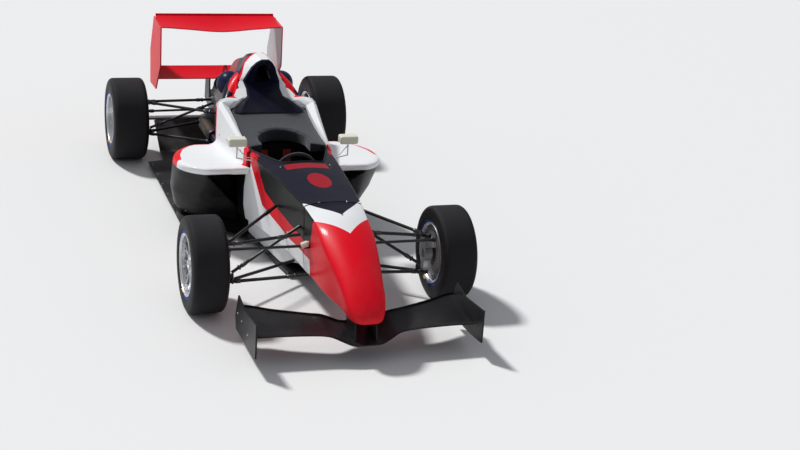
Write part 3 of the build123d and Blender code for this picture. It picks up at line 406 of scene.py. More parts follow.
def livery(finish):
    """Colour of the cell and of the nose at every point."""
    side = abs(finish.x)
    back = finish.y - FRONT_AXLE
    nx, _, nz = finish.facing
    on_top = (finish.z - back.along(CREASE)) > -0.005
    navy_top = (back + NAVY_TIP - side * NAVY_SLOPE) > 0
    white_top = (back + WHITE_TIP - side * WHITE_SLOPE) > 0
    disc = (((finish.x - DISC_CENTRE[0]) / DISC_HALF[0]) ** 2
            + ((finish.y - DISC_CENTRE[1]) / DISC_HALF[1]) ** 2) < 1
    bar = (side < BAR_HALF[0]) * (abs(finish.y - BAR_PLACE) < BAR_HALF[1])
    rim = (back > RIM_FROM) * (side > RIM_INNER)
    top = finish.layers(
        RED, (white_top, WHITE), (navy_top, NAVY), (disc.either(bar) * navy_top, DEEP_RED),
        (rim, DEEP_RED),
    )
    in_stripe = (finish.z - back.along(STRIPE_HIGH)) < 0
    under_stripe = (finish.z - back.along(STRIPE_LOW)) < 0
    past_white = (back - finish.z.along(WHITE_BACK)) > 0
    nose = (back - finish.z.along(NOSE_EDGE)) < 0
    flank = finish.layers(
        BLACK, (in_stripe.either(back > RIM_FROM), RED), (under_stripe, WHITE), (past_white, BLACK),
        (nose, RED),
    )
    inside = ((finish.x * nx) < -0.0001) * (back > 0.1)
    below = (nz < -0.5) * (back > -0.1)
    inner_floor = (nz > 0.5) * (finish.z < 0.45) * (back > 0.1)
    hidden = inside.either(below).either(inner_floor)
    return finish.layers(flank, (on_top * (nz > 0.02), top), (hidden, BLACK))


def dress(finish, *names):
    """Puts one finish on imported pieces."""
    for name in names:
        mesh = nodes[name].data
        mesh.materials.clear()
        mesh.materials.append(finish.material)


cell_paint = lacquered("cell_paint", livery)
dress(cell_paint, "monocoque")

# %% [markdown]
# ## Livery of the sidepods, the panel round the cockpit, and the cover
# A white band caps each pod and joins the white panel. Red piping runs round the rear
# edge of the white. The cover behind is dark, with a red spine and a red patch. Low on its
# flanks the red paint is painted dark maroon as painted shade, with grey streaks that are a
# painted reflection of the ground; its blisters carry a painted blue reflection of the sky,
# and its tail is painted deep red as painted shade.

# %% Paints of the rear body
PIPING = 0.017
POD_BAND = 0.050
POD_EDGE, POD_EDGE_FROM, POD_REAR = 0.020, 1.15, 1.512
INLET_END = 1.3
FAIRING_GAP = 0.012
MOUTH_END = 0.985
DUCT_HALF = 0.057
DUCT_LOW, DUCT_HIGH = 0.80, 0.951
PATCH_DEPTH, PATCH_LOW, PATCH_HIGH = 0.060, 0.70, 0.86
CROWN_DEPTH, CROWN_LOW = 0.035, 0.90
SPINE_HALF, SPINE_FROM = 0.026, 1.84
TAIL_FROM, TAIL_LEAN, TAIL_LOW = 2.66, 0.5, 0.55
# Place and size of the painted blue reflection of the sky on the blisters.
SKY_REFLECTION_CENTRE, SKY_REFLECTION_SQUEEZE = (0.175, at(1890)), 0.6
SKY_REFLECTION_RADIUS_SQUARED, SKY_REFLECTION_LOW = 0.0075, 0.76
FLANK_TOP, FLANK_FALL, FLANK_FROM = 0.90, 0.16, 1.6


def pod_colour(finish):
    back = finish.y - FRONT_AXLE
    band = (finish.z - back.along(POD_TOP)) > -POD_BAND
    near_tail = (abs(finish.x) - back.along(POD_TAIL)) > -POD_EDGE
    edge = (near_tail * (back > POD_EDGE_FROM)).either(back > POD_REAR)
    outer = finish.facing[1] > -0.75
    over, _ = twill(finish)
    # Tows that run one way are painted a little lighter: a painted sheen.
    weave_with_painted_sheen = finish.mix(over, (0.008, 0.008, 0.009), (0.015, 0.015, 0.017))
    return finish.layers(weave_with_painted_sheen, (band * outer.either(back < INLET_END), WHITE), (band * edge, RED))


def shroud_colour(finish):
    back = finish.y - FRONT_AXLE
    side = abs(finish.x)
    ahead = finish.z.along(TRIM) - back
    piping = (ahead < PIPING) * ((side - finish.z.along(FAIRING_EDGE)) > -FAIRING_GAP)
    # The mouth of the duct is painted black: painted shade inside the opening.
    duct_mouth_shade = (side < DUCT_HALF) * (finish.z < DUCT_HIGH) * (finish.z > DUCT_LOW)
    return finish.layers(WHITE, (piping.either(back < MOUTH_END), RED), (duct_mouth_shade, BLACK))


def cover_colour(finish):
    back = finish.y - FRONT_AXLE
    side = abs(finish.x)
    behind_trim = back - finish.z.along(TRIM)
    patch = (behind_trim < PATCH_DEPTH) * (finish.z > PATCH_LOW) * (finish.z < PATCH_HIGH)
    crown = (behind_trim < CROWN_DEPTH) * (finish.z > CROWN_LOW)
    spine = (side < SPINE_HALF) * (back > SPINE_FROM)
    tail = (back + finish.z * TAIL_LEAN > TAIL_FROM) * (finish.z > TAIL_LOW)
    # A blue tint on the blisters is a painted reflection of the sky.
    from_sky_reflection = ((side - SKY_REFLECTION_CENTRE[0]) ** 2
                 + ((finish.y - SKY_REFLECTION_CENTRE[1]) * SKY_REFLECTION_SQUEEZE) ** 2)
    sky_reflection = (from_sky_reflection < SKY_REFLECTION_RADIUS_SQUARED) * (finish.z > SKY_REFLECTION_LOW)
    # Low on the flanks the red paint is painted dark maroon: painted shade. The grey streaks over
    # it are a painted reflection of the ground.
    flank = (finish.z + back * FLANK_FALL < FLANK_TOP) * (back > FLANK_FROM)
    streak = finish.noise(3.0, 2.0).rise(0.35, 0.7)
    return finish.layers(
        NAVY, (flank, (0.05, 0.012, 0.02)), (flank * streak * 0.5, (0.10, 0.085, 0.09)),
        (sky_reflection, (0.010, 0.013, 0.050)), (patch.either(crown), RED),
        # The tail is painted deep red, the red paint as it looks in shade: painted shade. The spine
        # shares that deep red.
        (spine.either(tail), DEEP_RED),
    )


pod_paint = lacquered("pod_paint", pod_colour)
shroud_paint = lacquered("shroud_paint", shroud_colour)
cover_paint = lacquered("cover_paint", cover_colour)
hoop_paint = lacquered("hoop_paint", lambda finish: NAVY)
dress(shroud_paint, "cockpit_shroud")
dress(cover_paint, "engine_cover")
dress(hoop_paint, "roll_hoop")

# %% [markdown]
# ## Wings
# The front wing is bare carbon. The rear wing is red outside, with the faces that look
# down painted deep red as painted shade, and the faces of its endplates that look at each
# other are pale grey.

# %% Wing finishes
ENDPLATE_INNER = 0.4385


def endplate_colour(finish):
    inward = abs(finish.x) < ENDPLATE_INNER
    return finish.mix(inward, RED, (0.52, 0.53, 0.55))


body_carbon = carbon_finish("body_carbon")
floor_carbon = carbon_finish("floor_carbon", film_share=0.2)
seat_carbon = carbon_finish("seat_carbon", shine=0.1, film_share=0.02)
# Faces of the rear wing that look down are painted deep red: painted shade.
wing_paint = lacquered("wing_paint", lambda finish: finish.mix(
    finish.facing[2] < -0.3, RED, DEEP_RED))
endplate_paint = lacquered("endplate_paint", endplate_colour)
dress(body_carbon, "front_wing_endplates", "front_wing_pylons")
dress(floor_carbon, "floor")
dress(wing_paint, "rear_wing_lower")
dress(endplate_paint, "rear_wing_endplates")
dress(body_carbon, "rear_crash_box", "dashboard")
dress(seat_carbon, "seat")

# %% [markdown]
# ## Metal
# Suspension tubes are steel under black enamel, uprights and cases are machined or
# cast light alloy, discs are iron with fine turning marks, and the exhaust is
# stainless steel tinted by heat. Each recipe varies roughness more than colour,
# because that is what tells one metal from another.

# %% Metal recipes
def metal(name, colour, roughness, grain_scale, grain_depth, metallic=1.0, grime=0.2):
    finish = Finish(name, Metallic=metallic)
    patches = finish.noise(18.0, 4.0, 0.6)
    grain = finish.noise(grain_scale, 3.0, 0.6)
    dirt = patches.rise(0.45, 0.75) * grime
    finish.set(
        Base_Color=finish.mix(dirt, colour, (0.03, 0.026, 0.022)),
        Roughness=roughness + dirt * 0.5 + (grain - 0.5) * 0.15,
        Normal=finish.bump(grain, grain_depth),
    )
    return finish


enamel = metal("black_enamel", (0.012, 0.012, 0.014), 0.30, 240.0, 0.0001, metallic=0.0)
machined = metal("machined_alloy", (0.46, 0.47, 0.48), 0.32, 600.0, 0.0001)
cast = metal("cast_case", (0.20, 0.20, 0.21), 0.52, 320.0, 0.0006, grime=0.25)
dark_steel = metal("dark_steel", (0.10, 0.10, 0.105), 0.38, 500.0, 0.0001)
bright_steel = metal("bright_steel", (0.62, 0.62, 0.63), 0.22, 600.0, 0.00005, grime=0.1)


def hot_steel():
    """Stainless pipe, straw and blue where it runs hottest."""
    finish = Finish("hot_steel", Metallic=1.0)
    heat = finish.y.rise(behind(-200), behind(-620)) + (finish.noise(12.0, 3.0) - 0.5) * 0.6
    finish.set(
        Base_Color=finish.layers(
            (0.10, 0.095, 0.09), (heat.rise(0.3, 0.7), (0.13, 0.085, 0.045)),
            (heat.rise(0.75, 1.0), (0.045, 0.045, 0.080)),
        ),
        Roughness=0.30 + heat * 0.12,
        Normal=finish.bump(finish.noise(300.0, 2.0), 0.0002),
    )
    return finish


dress(enamel, "front_wishbones", "rear_wishbones", "front_pushrods", "rear_links",
      "steering_rack")
dress(cast, "gearbox", "engine")
dress(hot_steel(), "exhaust")
dress(bright_steel, "drive_shaft_left", "drive_shaft_right")

# %% [markdown]
# ## Brakes
# A disc is turned on a lathe and then drilled, so its face shows fine rings and
# rows of holes. Both follow from the distance and the angle round the axle. The holes are
# painted near black as painted shade inside them.

# %% Disc and upright finishes
CORNERS = {
    "front_left": (1, 0.708, FRONT_AXLE, 0.270, 0.205, "wheel_front_left"),
    "front_right": (-1, 0.708, FRONT_AXLE, 0.270, 0.205, "wheel_front_right"),
    "rear_left": (1, 0.7115, REAR_AXLE, 0.285, 0.243, "wheel_rear_left"),
    "rear_right": (-1, 0.7115, REAR_AXLE, 0.285, 0.243, "wheel_rear_right"),
}
HOLE_ROWS = 36
DISC_INNER, DISC_OUTER = 0.072, 0.127
HOLE_STEP, HOLE_RADIUS, HOLES_FROM = 0.0135, 0.0028, 0.078


def disc_iron(name, y, z):
    """Iron disc turned about an axle at y and z."""
    finish = Finish("iron_" + name, Metallic=1.0)
    dy, dz = finish.y - y, finish.z - z
    reach = (dy * dy + dz * dz) ** 0.5
    turn = finish.y.math("ARCTAN2", dz, dy) * (HOLE_ROWS / (2 * math.pi))
    skew = turn + (reach - DISC_INNER) / (DISC_OUTER - DISC_INNER) * 1.5
    across = abs((skew % 1.0) - 0.5) * reach * (2 * math.pi / HOLE_ROWS)
    along = abs((((reach - DISC_INNER) / HOLE_STEP) % 1.0) - 0.5) * HOLE_STEP
    from_centre = (across * across + along * along) ** 0.5
    hole = (from_centre < HOLE_RADIUS) * (reach > HOLES_FROM)
    rings = (reach * 9000.0).sine()
    face = (reach > DISC_INNER)
    # The holes are painted near black: painted shade inside them.
    finish.set(
        Base_Color=finish.layers((0.20, 0.19, 0.18), (face, (0.42, 0.41, 0.40)),
                                 (hole * face, (0.01, 0.01, 0.01))),
        Roughness=0.42 - face * 0.12 + hole * 0.4,
        Normal=finish.bump(rings * 0.15 - hole * 8.0 * face, 0.0002),
    )
    return finish


for name, (side, track, y, z, _, _) in CORNERS.items():
    dress(disc_iron(name, y, z), "brake_disc_" + name)
    dress(machined, "upright_" + name)

# %% [markdown]
# ## Radiators and lamp
# A radiator's face is a grid of thin fins between flat tubes, and the gaps between them
# are painted near black as painted shade. The lamp at the tail is a red lens over a grid of
# diodes, unlit.

# %% Radiator and lamp finishes
FIN_PITCH = 0.0022
TUBE_PITCH = 0.011
DIODE_PITCH = 0.011


def radiator_core():
    finish = Finish("radiator_core", Metallic=0.7)
    fins = abs((finish.z / FIN_PITCH * math.pi).sine())
    tubes = abs((finish.x / TUBE_PITCH * math.pi).sine()) > 0.93
    # The gaps between the fins are painted near black: painted shade in the core.
    finish.set(
        Base_Color=finish.layers((0.006, 0.006, 0.007), (fins * 0.6, (0.07, 0.07, 0.075)),
                                 (tubes, (0.10, 0.10, 0.11))),
        Roughness=0.55 + finish.noise(30.0) * 0.2,
        Normal=finish.bump(fins.either(tubes), 0.0012),
    )
    return finish


def lamp_lens():
    finish = Finish("lamp_lens", Coat_Weight=0.8, Coat_Roughness=0.04)
    cell_x = abs((finish.x / DIODE_PITCH * math.pi).sine())
    cell_z = abs((finish.z / DIODE_PITCH * math.pi).sine())
    bead = cell_x * cell_z
    finish.set(
        Base_Color=finish.mix(bead, (0.10, 0.002, 0.004), (0.50, 0.010, 0.014)),
        Roughness=0.18 + (1 - bead) * 0.15,
        Normal=finish.bump(bead, 0.0015),
    )
    return finish


dress(radiator_core(), "radiators")
dress(lamp_lens(), "rain_light")

# %% [markdown]
# ## Pieces made here
# A new piece is a mesh with its place in its points. It gets one finish and rides on a
# body of the model. Soft angles are shaded smooth and sharp ones stay sharp.

# %% Helpers for new pieces
SHARP = math.radians(38)


def settle(name, mesh, finish, body):
    """Finishes a mesh as a piece of the car."""
    shell = bmesh.new()
    shell.from_mesh(mesh)
    bmesh.ops.remove_doubles(shell, verts=shell.verts, dist=0.00002)
    bmesh.ops.recalc_face_normals(shell, faces=shell.faces)
    shell.to_mesh(mesh)
    shell.free()
    mesh.shade_smooth()
    mesh.set_sharp_from_angle(angle=SHARP)
    mesh.materials.clear()
    mesh.materials.append(finish.material)
    made = bpy.data.objects.new(name, mesh)
    scene.collection.objects.link(made)
    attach(made, body)
    return made


def mesh_of(name, *shapes):
    """One mesh from several (points, faces) shapes."""
    points, faces = [], []
    for more_points, more_faces in shapes:
        start = len(points)
        points += [tuple(point) for point in more_points]
        faces += [tuple(start + corner for corner in face) for face in more_faces]
    mesh = bpy.data.meshes.new(name)
    mesh.from_pydata(points, [], faces)
    return mesh


def moved(shape, matrix):
    """A shape carried by a matrix."""
    points, faces = shape
    return [matrix @ Vector(point) for point in points], faces


def rings_shape(rings, looped=False):
    """Shape through rings of points that all have the same count, capped unless looped."""
    count = len(rings[0])
    points = [point for ring in rings for point in ring]
    faces = []
    last = len(rings) if looped else len(rings) - 1
    for row in range(last):
        start, end = row * count, (row + 1) % len(rings) * count
        for step in range(count):
            ahead = (step + 1) % count
            faces.append((start + step, start + ahead, end + ahead, end + step))
    if not looped:
        faces.append(tuple(range(count)))
        faces.append(tuple(range(len(points) - count, len(points))))
    return points, faces


def lathe(profile, segments):
    """Closed profile of (out, radius) points turned about the X axis."""
    rings = []
    for step in range(segments):
        angle = 2 * math.pi * step / segments
        rings.append([
            (out, radius * math.sin(angle), radius * math.cos(angle)) for out, radius in profile
        ])
    return rings_shape(rings, looped=True)


def tube(path, radius, sides=12):
    """Round bar along a path of points, with radius as a number or one for each point."""
    path = [Vector(point) for point in path]
    radii = radius if isinstance(radius, (list, tuple)) else [radius] * len(path)
    rings = []
    side = None
    for index, point in enumerate(path):
        ahead = path[min(index + 1, len(path) - 1)] - path[max(index - 1, 0)]
        ahead.normalize()
        if side is None:
            side = ahead.orthogonal().normalized()
        side = (side - ahead * side.dot(ahead)).normalized()
        up = ahead.cross(side)
        rings.append([
            point + (side * math.cos(2 * math.pi * step / sides)
                     + up * math.sin(2 * math.pi * step / sides)) * radii[index]
            for step in range(sides)
        ])
    return rings_shape(rings)


def slab(outline, normal, thickness, edge):
    """Flat plate on an outline of points, with its edges cut back by a bevel."""
    normal = Vector(normal).normalized()
    points = [Vector(point) for point in outline]
    centre = sum(points, Vector()) / len(points)

    def ring(height, inset):
        return [
            point + normal * height - (point - centre).normalized() * inset for point in points
        ]

    return rings_shape([
        ring(0, edge), ring(edge, 0), ring(thickness - edge, 0), ring(thickness, edge),
    ])


print("helpers ready")

# %% [markdown]
# ## Wing planes
# A wing plane is one moulding that flows across the car: flat beside the endplates,
# and dipping in the middle under the nose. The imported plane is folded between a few
# sections. Here a smooth curve passes through the same sections, with a rounded
# leading edge and a small upright strip along the trailing edge.

# %% Smooth wing planes
WING_SKIN = 0.0035
WING_NOSE_BACK, WING_NOSE_HALF = 0.0028, 0.0018
LIP_FOOT, LIP_HEIGHT = 0.0034, 0.010
WING_RINGS, WING_PARTS = 61, 12
WING_BELLY = 0.020
FRONT_HALF_SPAN, REAR_HALF_SPAN = 0.604, 0.438
FRONT_WING = [
    (0.0, at(-815), 0.106, at(-545), 0.120, 0.005),
    (0.13, at(-812), 0.108, at(-548), 0.124, 0.005),
    (0.21, at(-796), 0.124, at(-556), 0.146, 0.006),
    (0.31, at(-772), 0.146, at(-562), 0.172, 0.008),
    (0.42, at(-758), 0.152, at(-552), 0.178, 0.008),
    (0.72, at(-747), 0.156, at(-492), 0.186, 0.008),
    (1.0, at(-745), 0.156, at(-425), 0.192, 0.010),
]
UPPER_WING = [
    (0.0, behind(228), 0.852, behind(480), 0.915, 0.014),
    (0.6, behind(225), 0.872, behind(480), 0.915, 0.012),
    (1.0, behind(215), 0.885, behind(480), 0.915, 0.010),
]


def smooth_row(rows, share):
    """Row of numbers at a share of the half span, on a smooth curve through the rows."""
    rows = [(-rows[1][0], *rows[1][1:]), *rows, (2 - rows[-2][0], *rows[-2][1:])]
    for before, start, end, after in zip(rows, rows[1:], rows[2:], rows[3:]):
        if share <= end[0] + 1e-9:
            break
    gap = end[0] - start[0]
    t = (share - start[0]) / gap
    values = []
    for a, b, c, d in zip(before[1:], start[1:], end[1:], after[1:]):
        lead = (c - a) / (end[0] - before[0]) * gap
        trail = (d - b) / (after[0] - start[0]) * gap
        values.append(
            (2 * t ** 3 - 3 * t ** 2 + 1) * b + (t ** 3 - 2 * t ** 2 + t) * lead
            + (3 * t ** 2 - 2 * t ** 3) * c + (t ** 3 - t ** 2) * trail
        )
    return values


def wing_shape(rows, half_span):
    """Closed skin of a wing plane, from its right end to its left end."""
    rings = []
    for step in range(WING_RINGS):
        share = step / (WING_RINGS - 1) * 2 - 1
        y0, z0, y1, z1, hollow = smooth_row(rows, abs(share))
        x = share * half_span
        upper, lower = [], []
        for part in range(WING_PARTS + 1):
            t = part / WING_PARTS
            arch = 4 * t * (1 - t)
            y = y0 + (y1 - y0) * t
            z = z0 + (z1 - z0) * t
            upper.append((x, y, z + WING_SKIN - hollow * arch))
            lower.append((x, y - WING_BELLY * arch * 0.3, z - WING_SKIN - WING_BELLY * arch))
        nose = [
            (x, y0 - WING_NOSE_BACK, z0 - WING_NOSE_HALF), (x, y0 - WING_SKIN, z0),
            (x, y0 - WING_NOSE_BACK, z0 + WING_NOSE_HALF),
        ]
        lip_top = z1 + WING_SKIN + LIP_HEIGHT
        lip = [
            (x, y1 - WING_SKIN, z1 + LIP_FOOT), (x, y1 - WING_SKIN, lip_top), (x, y1, lip_top),
        ]
        rings.append(upper[:-1] + lip + lower[::-1] + nose)
    return rings_shape(rings)


for name, rows, half, finish, slot in (
    ("front_wing", FRONT_WING, FRONT_HALF_SPAN, body_carbon, "carbon"),
    ("rear_wing_upper", UPPER_WING, REAR_HALF_SPAN, wing_paint, "red_paint"),
):
    made = settle("smooth_" + name, mesh_of("plane", wing_shape(rows, half)), finish,
                  "chassis")
    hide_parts(name)
    print(name, "faces:", len(made.data.polygons))

# %% [markdown]
# ## Tyres
# A slick is a plain band of rubber: full sidewalls with a rim guard and fine mould
# rings, round shoulders, and a scrubbed tread. The section is turned about the axle.
# Each point of the skin also gets its place along the section, so the finish can put
# the tread's scuffs, the coloured arcs and the mould rings where they belong.

# %% Rubber
def rubber():
    """Slick rubber: u runs round the tyre, v from bead to bead across the tread."""
    finish = Finish("slick_rubber", Specular_IOR_Level=0.18)
    u, v, _ = finish.split(finish.node("ShaderNodeUVMap", {"uv_map": "skin"}))
    across = 1 - abs(v - 0.5) * 2
    tread = across.rise(0.52, 0.60)
    streak = finish.node("ShaderNodeCombineXYZ", {}, [u * 6.0, v * 90.0, 0.0])
    scuffs = finish.noise(3.0, 5.0, 0.7, vector=streak)
    grain = finish.noise(260.0, 3.0, 0.7)
    half_turn = (u * 2 + 0.14) % 1.0
    arcs = (across > 0.10) * (across < 0.21) * (half_turn > 0.10) * (half_turn < 0.60)
    dash = (across > 0.09) * (across < 0.23) * (half_turn > 0.01) * (half_turn < 0.055)
    rings = (across * 420.0).sine() * (1 - tread) * 0.12
    dust = finish.noise(7.0, 4.0, 0.6).rise(0.4, 0.8)
    finish.set(
        Base_Color=finish.layers(
            (0.0065, 0.0065, 0.0075), (dust * 0.07, DUST),
            (tread * (0.35 + scuffs * 0.6), (0.023, 0.021, 0.024)),
            (arcs * 0.9, (0.02, 0.055, 0.30)), (dash * 0.9, (0.55, 0.33, 0.02)),
        ),
        Roughness=0.50 + tread * 0.22 + scuffs * 0.10,
        Normal=finish.bump(grain * (0.25 + tread * 0.75) + scuffs * tread * 0.6 + rings, 0.0006),
    )
    return finish


# %% Tyre skins
BEAD = 0.1655
TURNS = 96


def tyre_profile(radius, width):
    """Half section from the middle of the bead seat out to the middle of the tread."""
    wall = width / 2
    flank = (0.175 + radius) / 2
    return [
        (0.0, BEAD), (wall - 0.030, BEAD), (wall - 0.0142, BEAD), (wall - 0.0118, 0.1750),
        (wall - 0.0085, 0.1835), (wall - 0.0070, 0.1880), (wall - 0.0045, 0.1895),
        (wall - 0.0034, 0.1960), (wall - 0.0028, 0.1966), (wall - 0.0026, 0.2010),
        (wall - 0.0016, 0.2016), (wall - 0.0006, flank - 0.008), (wall - 0.0002, flank),
        (wall - 0.0008, flank + 0.010), (wall - 0.0022, radius - 0.0300),
        (wall - 0.0036, radius - 0.0255), (wall - 0.0050, radius - 0.0200),
        (wall - 0.0082, radius - 0.0135), (wall - 0.0125, radius - 0.0085),
        (wall - 0.0180, radius - 0.0042), (wall - 0.0250, radius - 0.0014),
        (wall - 0.0340, radius - 0.0004), (wall * 0.5, radius), (wall * 0.2, radius),
    ]


def tyre_mesh(name, radius, width):
    """Closed tyre about the origin, with its own map of the skin."""
    half = tyre_profile(radius, width)
    ring = half + [(-out, reach) for out, reach in reversed(half[1:])]
    mesh = mesh_of(name, lathe(ring, TURNS))
    lengths = [0.0]
    for (out, reach), (next_out, next_reach) in zip(ring[2:-1], ring[3:]):
        lengths.append(lengths[-1] + math.hypot(next_out - out, next_reach - reach))
    share = [0.0, 0.0] + [length / lengths[-1] for length in lengths]
    skin = mesh.uv_layers.new(name="skin")
    for face in mesh.polygons:
        rows = [mesh.loops[loop].vertex_index // len(ring) for loop in face.loop_indices]
        for loop, row in zip(face.loop_indices, rows):
            step = mesh.loops[loop].vertex_index % len(ring)
            u = 1.0 if row == 0 and max(rows) > 1 else row / TURNS
            skin.data[loop].uv = (u, share[min(step, len(share) - 1)])
    return mesh


slick = rubber()
for name, (side, track, y, z, width, body) in CORNERS.items():
    mesh = tyre_mesh("slick_" + name, z, width)
    mesh.transform(Matrix.Translation((side * track, y, z)))
    made = settle("slick_" + name, mesh, slick, body)
    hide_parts("tyre_" + name)
print("faces in one tyre:", len(made.data.polygons))

# %% [markdown]
# ## A tree that turns a shape about the axle
# Spokes repeat about an axle. One geometry tree puts copies of whatever mesh it is
# given round the X axis.

# %% Geometry tree helper
class Tree(Web):
    """A geometry tree with named inputs for its sizes."""

    def __init__(self, name, **sizes):
        super().__init__(bpy.data.node_groups.new(name, "GeometryNodeTree"))
        face = self.tree.interface
        face.new_socket("Geometry", in_out="INPUT", socket_type="NodeSocketGeometry")
        self.keys = {}
        kinds = {int: "NodeSocketInt", float: "NodeSocketFloat"}
        for title, value in sizes.items():
            socket = face.new_socket(title, in_out="INPUT", socket_type=kinds[type(value)])
            socket.default_value = value
            self.keys[title] = socket.identifier
        for title, kind in (("Part", "NodeSocketObject"), ("Finish", "NodeSocketMaterial")):
            socket = face.new_socket(title, in_out="INPUT", socket_type=kind)
            self.keys[title] = socket.identifier
        face.new_socket("Geometry", in_out="OUTPUT", socket_type="NodeSocketGeometry")
        self.entry = self.tree.nodes.new("NodeGroupInput")

    def given(self, title):
        """A named input of the tree."""
        return Field(self, self.entry.outputs[title])

    def close(self, instances):
        """Ends the tree: real geometry, with the finish set."""
        real = self.node("GeometryNodeRealizeInstances", {}, [instances])
        painted = self.node(
            "GeometryNodeSetMaterial", {}, {"Geometry": real, "Material": self.given("Finish")},
        )
        leave = self.tree.nodes.new("NodeGroupOutput")
        self.feed(leave.inputs[0], painted)

    def grow(self, name, mesh, finish, part=None, **sizes):
        """The plain mesh that the tree makes from a mesh."""
        seed = bpy.data.objects.new(name + "_seed", mesh)
        scene.collection.objects.link(seed)
        modifier = seed.modifiers.new("tree", "NODES")
        modifier.node_group = self.tree
        for title, value in sizes.items():
            modifier[self.keys[title]] = value
        modifier[self.keys["Finish"]] = finish.material
        if part:
            modifier[self.keys["Part"]] = part
        graph = bpy.context.evaluated_depsgraph_get()
        grown = bpy.data.meshes.new_from_object(seed.evaluated_get(graph))
        grown.name = name
        bpy.data.objects.remove(seed)
        return grown


def axle_tree():
    """Copies of the given mesh, turned in equal steps about the X axis."""
    tree = Tree("round_the_axle", Count=10, Phase=0.0)
    count = tree.given("Count")
    places = tree.node("GeometryNodePoints", {}, {"Count": count})
    index = tree.node("GeometryNodeInputIndex")
    angle = (index + tree.given("Phase")) * (2 * math.pi) / count
    turn = tree.node("ShaderNodeCombineXYZ", {}, [angle, 0.0, 0.0])
    tree.close(tree.node("GeometryNodeInstanceOnPoints", {}, {
        "Points": places, "Instance": tree.given("Geometry"), "Rotation": turn,
    }))
    return tree


round_the_axle = axle_tree()

# %% [markdown]
# ## Rims
# A light alloy rim: a turned barrel with a drop centre and rolled lips, ten forked
# spokes that dish in towards the hub, and one big centre nut. The barrel and the nut
# are turned, a leg of a spoke is lofted and mirrored, and the tree repeats the pair.

# %% Spoked rims
SPOKES = 10
SPOKE_FACE = 0.074
SPOKE_BEVEL = 0.0022


def leg(sideways):
    """One leg of a forked spoke, from the hub (radius 40 mm) to the barrel (160 mm)."""
    stations = [
        (0.036, 0.000, 0.0100, 0.018, 0.000), (0.060, 0.000, 0.0085, 0.017, -0.002),
        (0.088, 0.001, 0.0075, 0.016, -0.004), (0.110, 0.004, 0.0062, 0.015, -0.005),
        (0.128, 0.010, 0.0052, 0.014, -0.004), (0.146, 0.016, 0.0052, 0.014, -0.002),
        (0.1605, 0.020, 0.0070, 0.017, 0.000),
    ]
    rings = []
    bevel = SPOKE_BEVEL
    for reach, shift, half, depth, dish in stations:
        out = SPOKE_FACE + dish
        middle = sideways * shift
        rings.append([
            (out, middle - half + bevel, reach), (out, middle + half - bevel, reach),
            (out - bevel, middle + half, reach), (out - depth + bevel, middle + half, reach),
            (out - depth, middle + half - bevel, reach),
            (out - depth, middle - half + bevel, reach),
            (out - depth + bevel, middle - half, reach), (out - bevel, middle - half, reach),
        ])
    return rings_shape(rings)


def barrel_profile(width):
    """Closed section of the barrel for a rim that fits a tyre of this width."""
    edge = width / 2 - 0.0043
    outer = [
        (-edge + 0.0068, 0.1750), (-edge + 0.0068, 0.1653), (-edge + 0.030, 0.1650),
        (-0.020, 0.1648), (0.0, 0.1646), (0.020, 0.1648), (edge - 0.030, 0.1650),
        (edge - 0.0068, 0.1653), (edge - 0.0068, 0.1750),
    ]
    lip = [
        (edge - 0.0010, 0.1750), (edge, 0.1742), (edge, 0.1722), (edge - 0.0012, 0.1700),
        (edge - 0.0055, 0.1682), (edge - 0.0085, 0.1640), (edge - 0.0100, 0.1602),
        (SPOKE_FACE + 0.003, 0.1598), (SPOKE_FACE, 0.1592), (SPOKE_FACE - 0.020, 0.1592),
        (0.040, 0.1572), (0.0, 0.1560), (-0.040, 0.1572), (-edge + 0.0140, 0.1592),
        (-edge + 0.0080, 0.1620), (-edge + 0.0030, 0.1670), (-edge, 0.1700), (-edge, 0.1742),
        (-edge + 0.0010, 0.1750),
    ]
    return outer + lip


def hub_shapes():
    """Hub boss, and a six-sided centre nut with a bored, chamfered end."""
    boss = lathe([
        (SPOKE_FACE - 0.018, 0.010), (SPOKE_FACE - 0.018, 0.046), (SPOKE_FACE - 0.004, 0.0455),
        (SPOKE_FACE + 0.001, 0.0440), (SPOKE_FACE + 0.001, 0.010),
    ], 48)
    nut = lathe([
        (SPOKE_FACE, 0.012), (SPOKE_FACE, 0.0318), (SPOKE_FACE + 0.0055, 0.0318),
        (SPOKE_FACE + 0.0080, 0.0290), (SPOKE_FACE + 0.0080, 0.0160),
        (SPOKE_FACE + 0.0050, 0.0140), (SPOKE_FACE - 0.004, 0.012),
    ], 6)
    return boss, nut


def rim_alloy():
    """Cast alloy with a clear, slightly dusty lacquer and patches of brake dust."""
    finish = Finish("rim_alloy", Metallic=0.85, Coat_Weight=0.4, Coat_Roughness=0.1)
    dust = finish.noise(14.0, 4.0, 0.6).rise(0.42, 0.75) * 0.35
    finish.set(
        Base_Color=finish.mix(dust, (0.62, 0.63, 0.65), (0.11, 0.10, 0.09)),
        Roughness=0.30 + dust * 0.5,
        Normal=finish.bump(finish.noise(220.0, 2.0), 0.0002),
    )
    return finish


alloy = rim_alloy()
for name, (side, track, y, z, width, body) in CORNERS.items():
    spokes = round_the_axle.grow(
        "spokes_" + name, mesh_of("fork", leg(1), leg(-1)), alloy, Count=SPOKES,
    )
    shell = bmesh.new()
    shell.from_mesh(spokes)
    shell.from_mesh(mesh_of("barrel", lathe(barrel_profile(width), TURNS), *hub_shapes()))
    shell.to_mesh(spokes)
    shell.free()
    turned = Matrix.Rotation(0 if side > 0 else math.pi, 4, "Z")
    spokes.transform(Matrix.Translation((side * track, y, z)) @ turned)
    made = settle("alloy_" + name, spokes, alloy, body)
    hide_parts("rim_" + name)
print("faces in one rim:", len(made.data.polygons))

# %% [markdown]
# ## Mirrors
# Cream shells on thin white stalks. The glass sits in the face that looks back, and
# a thin brace ties each stalk to the body.

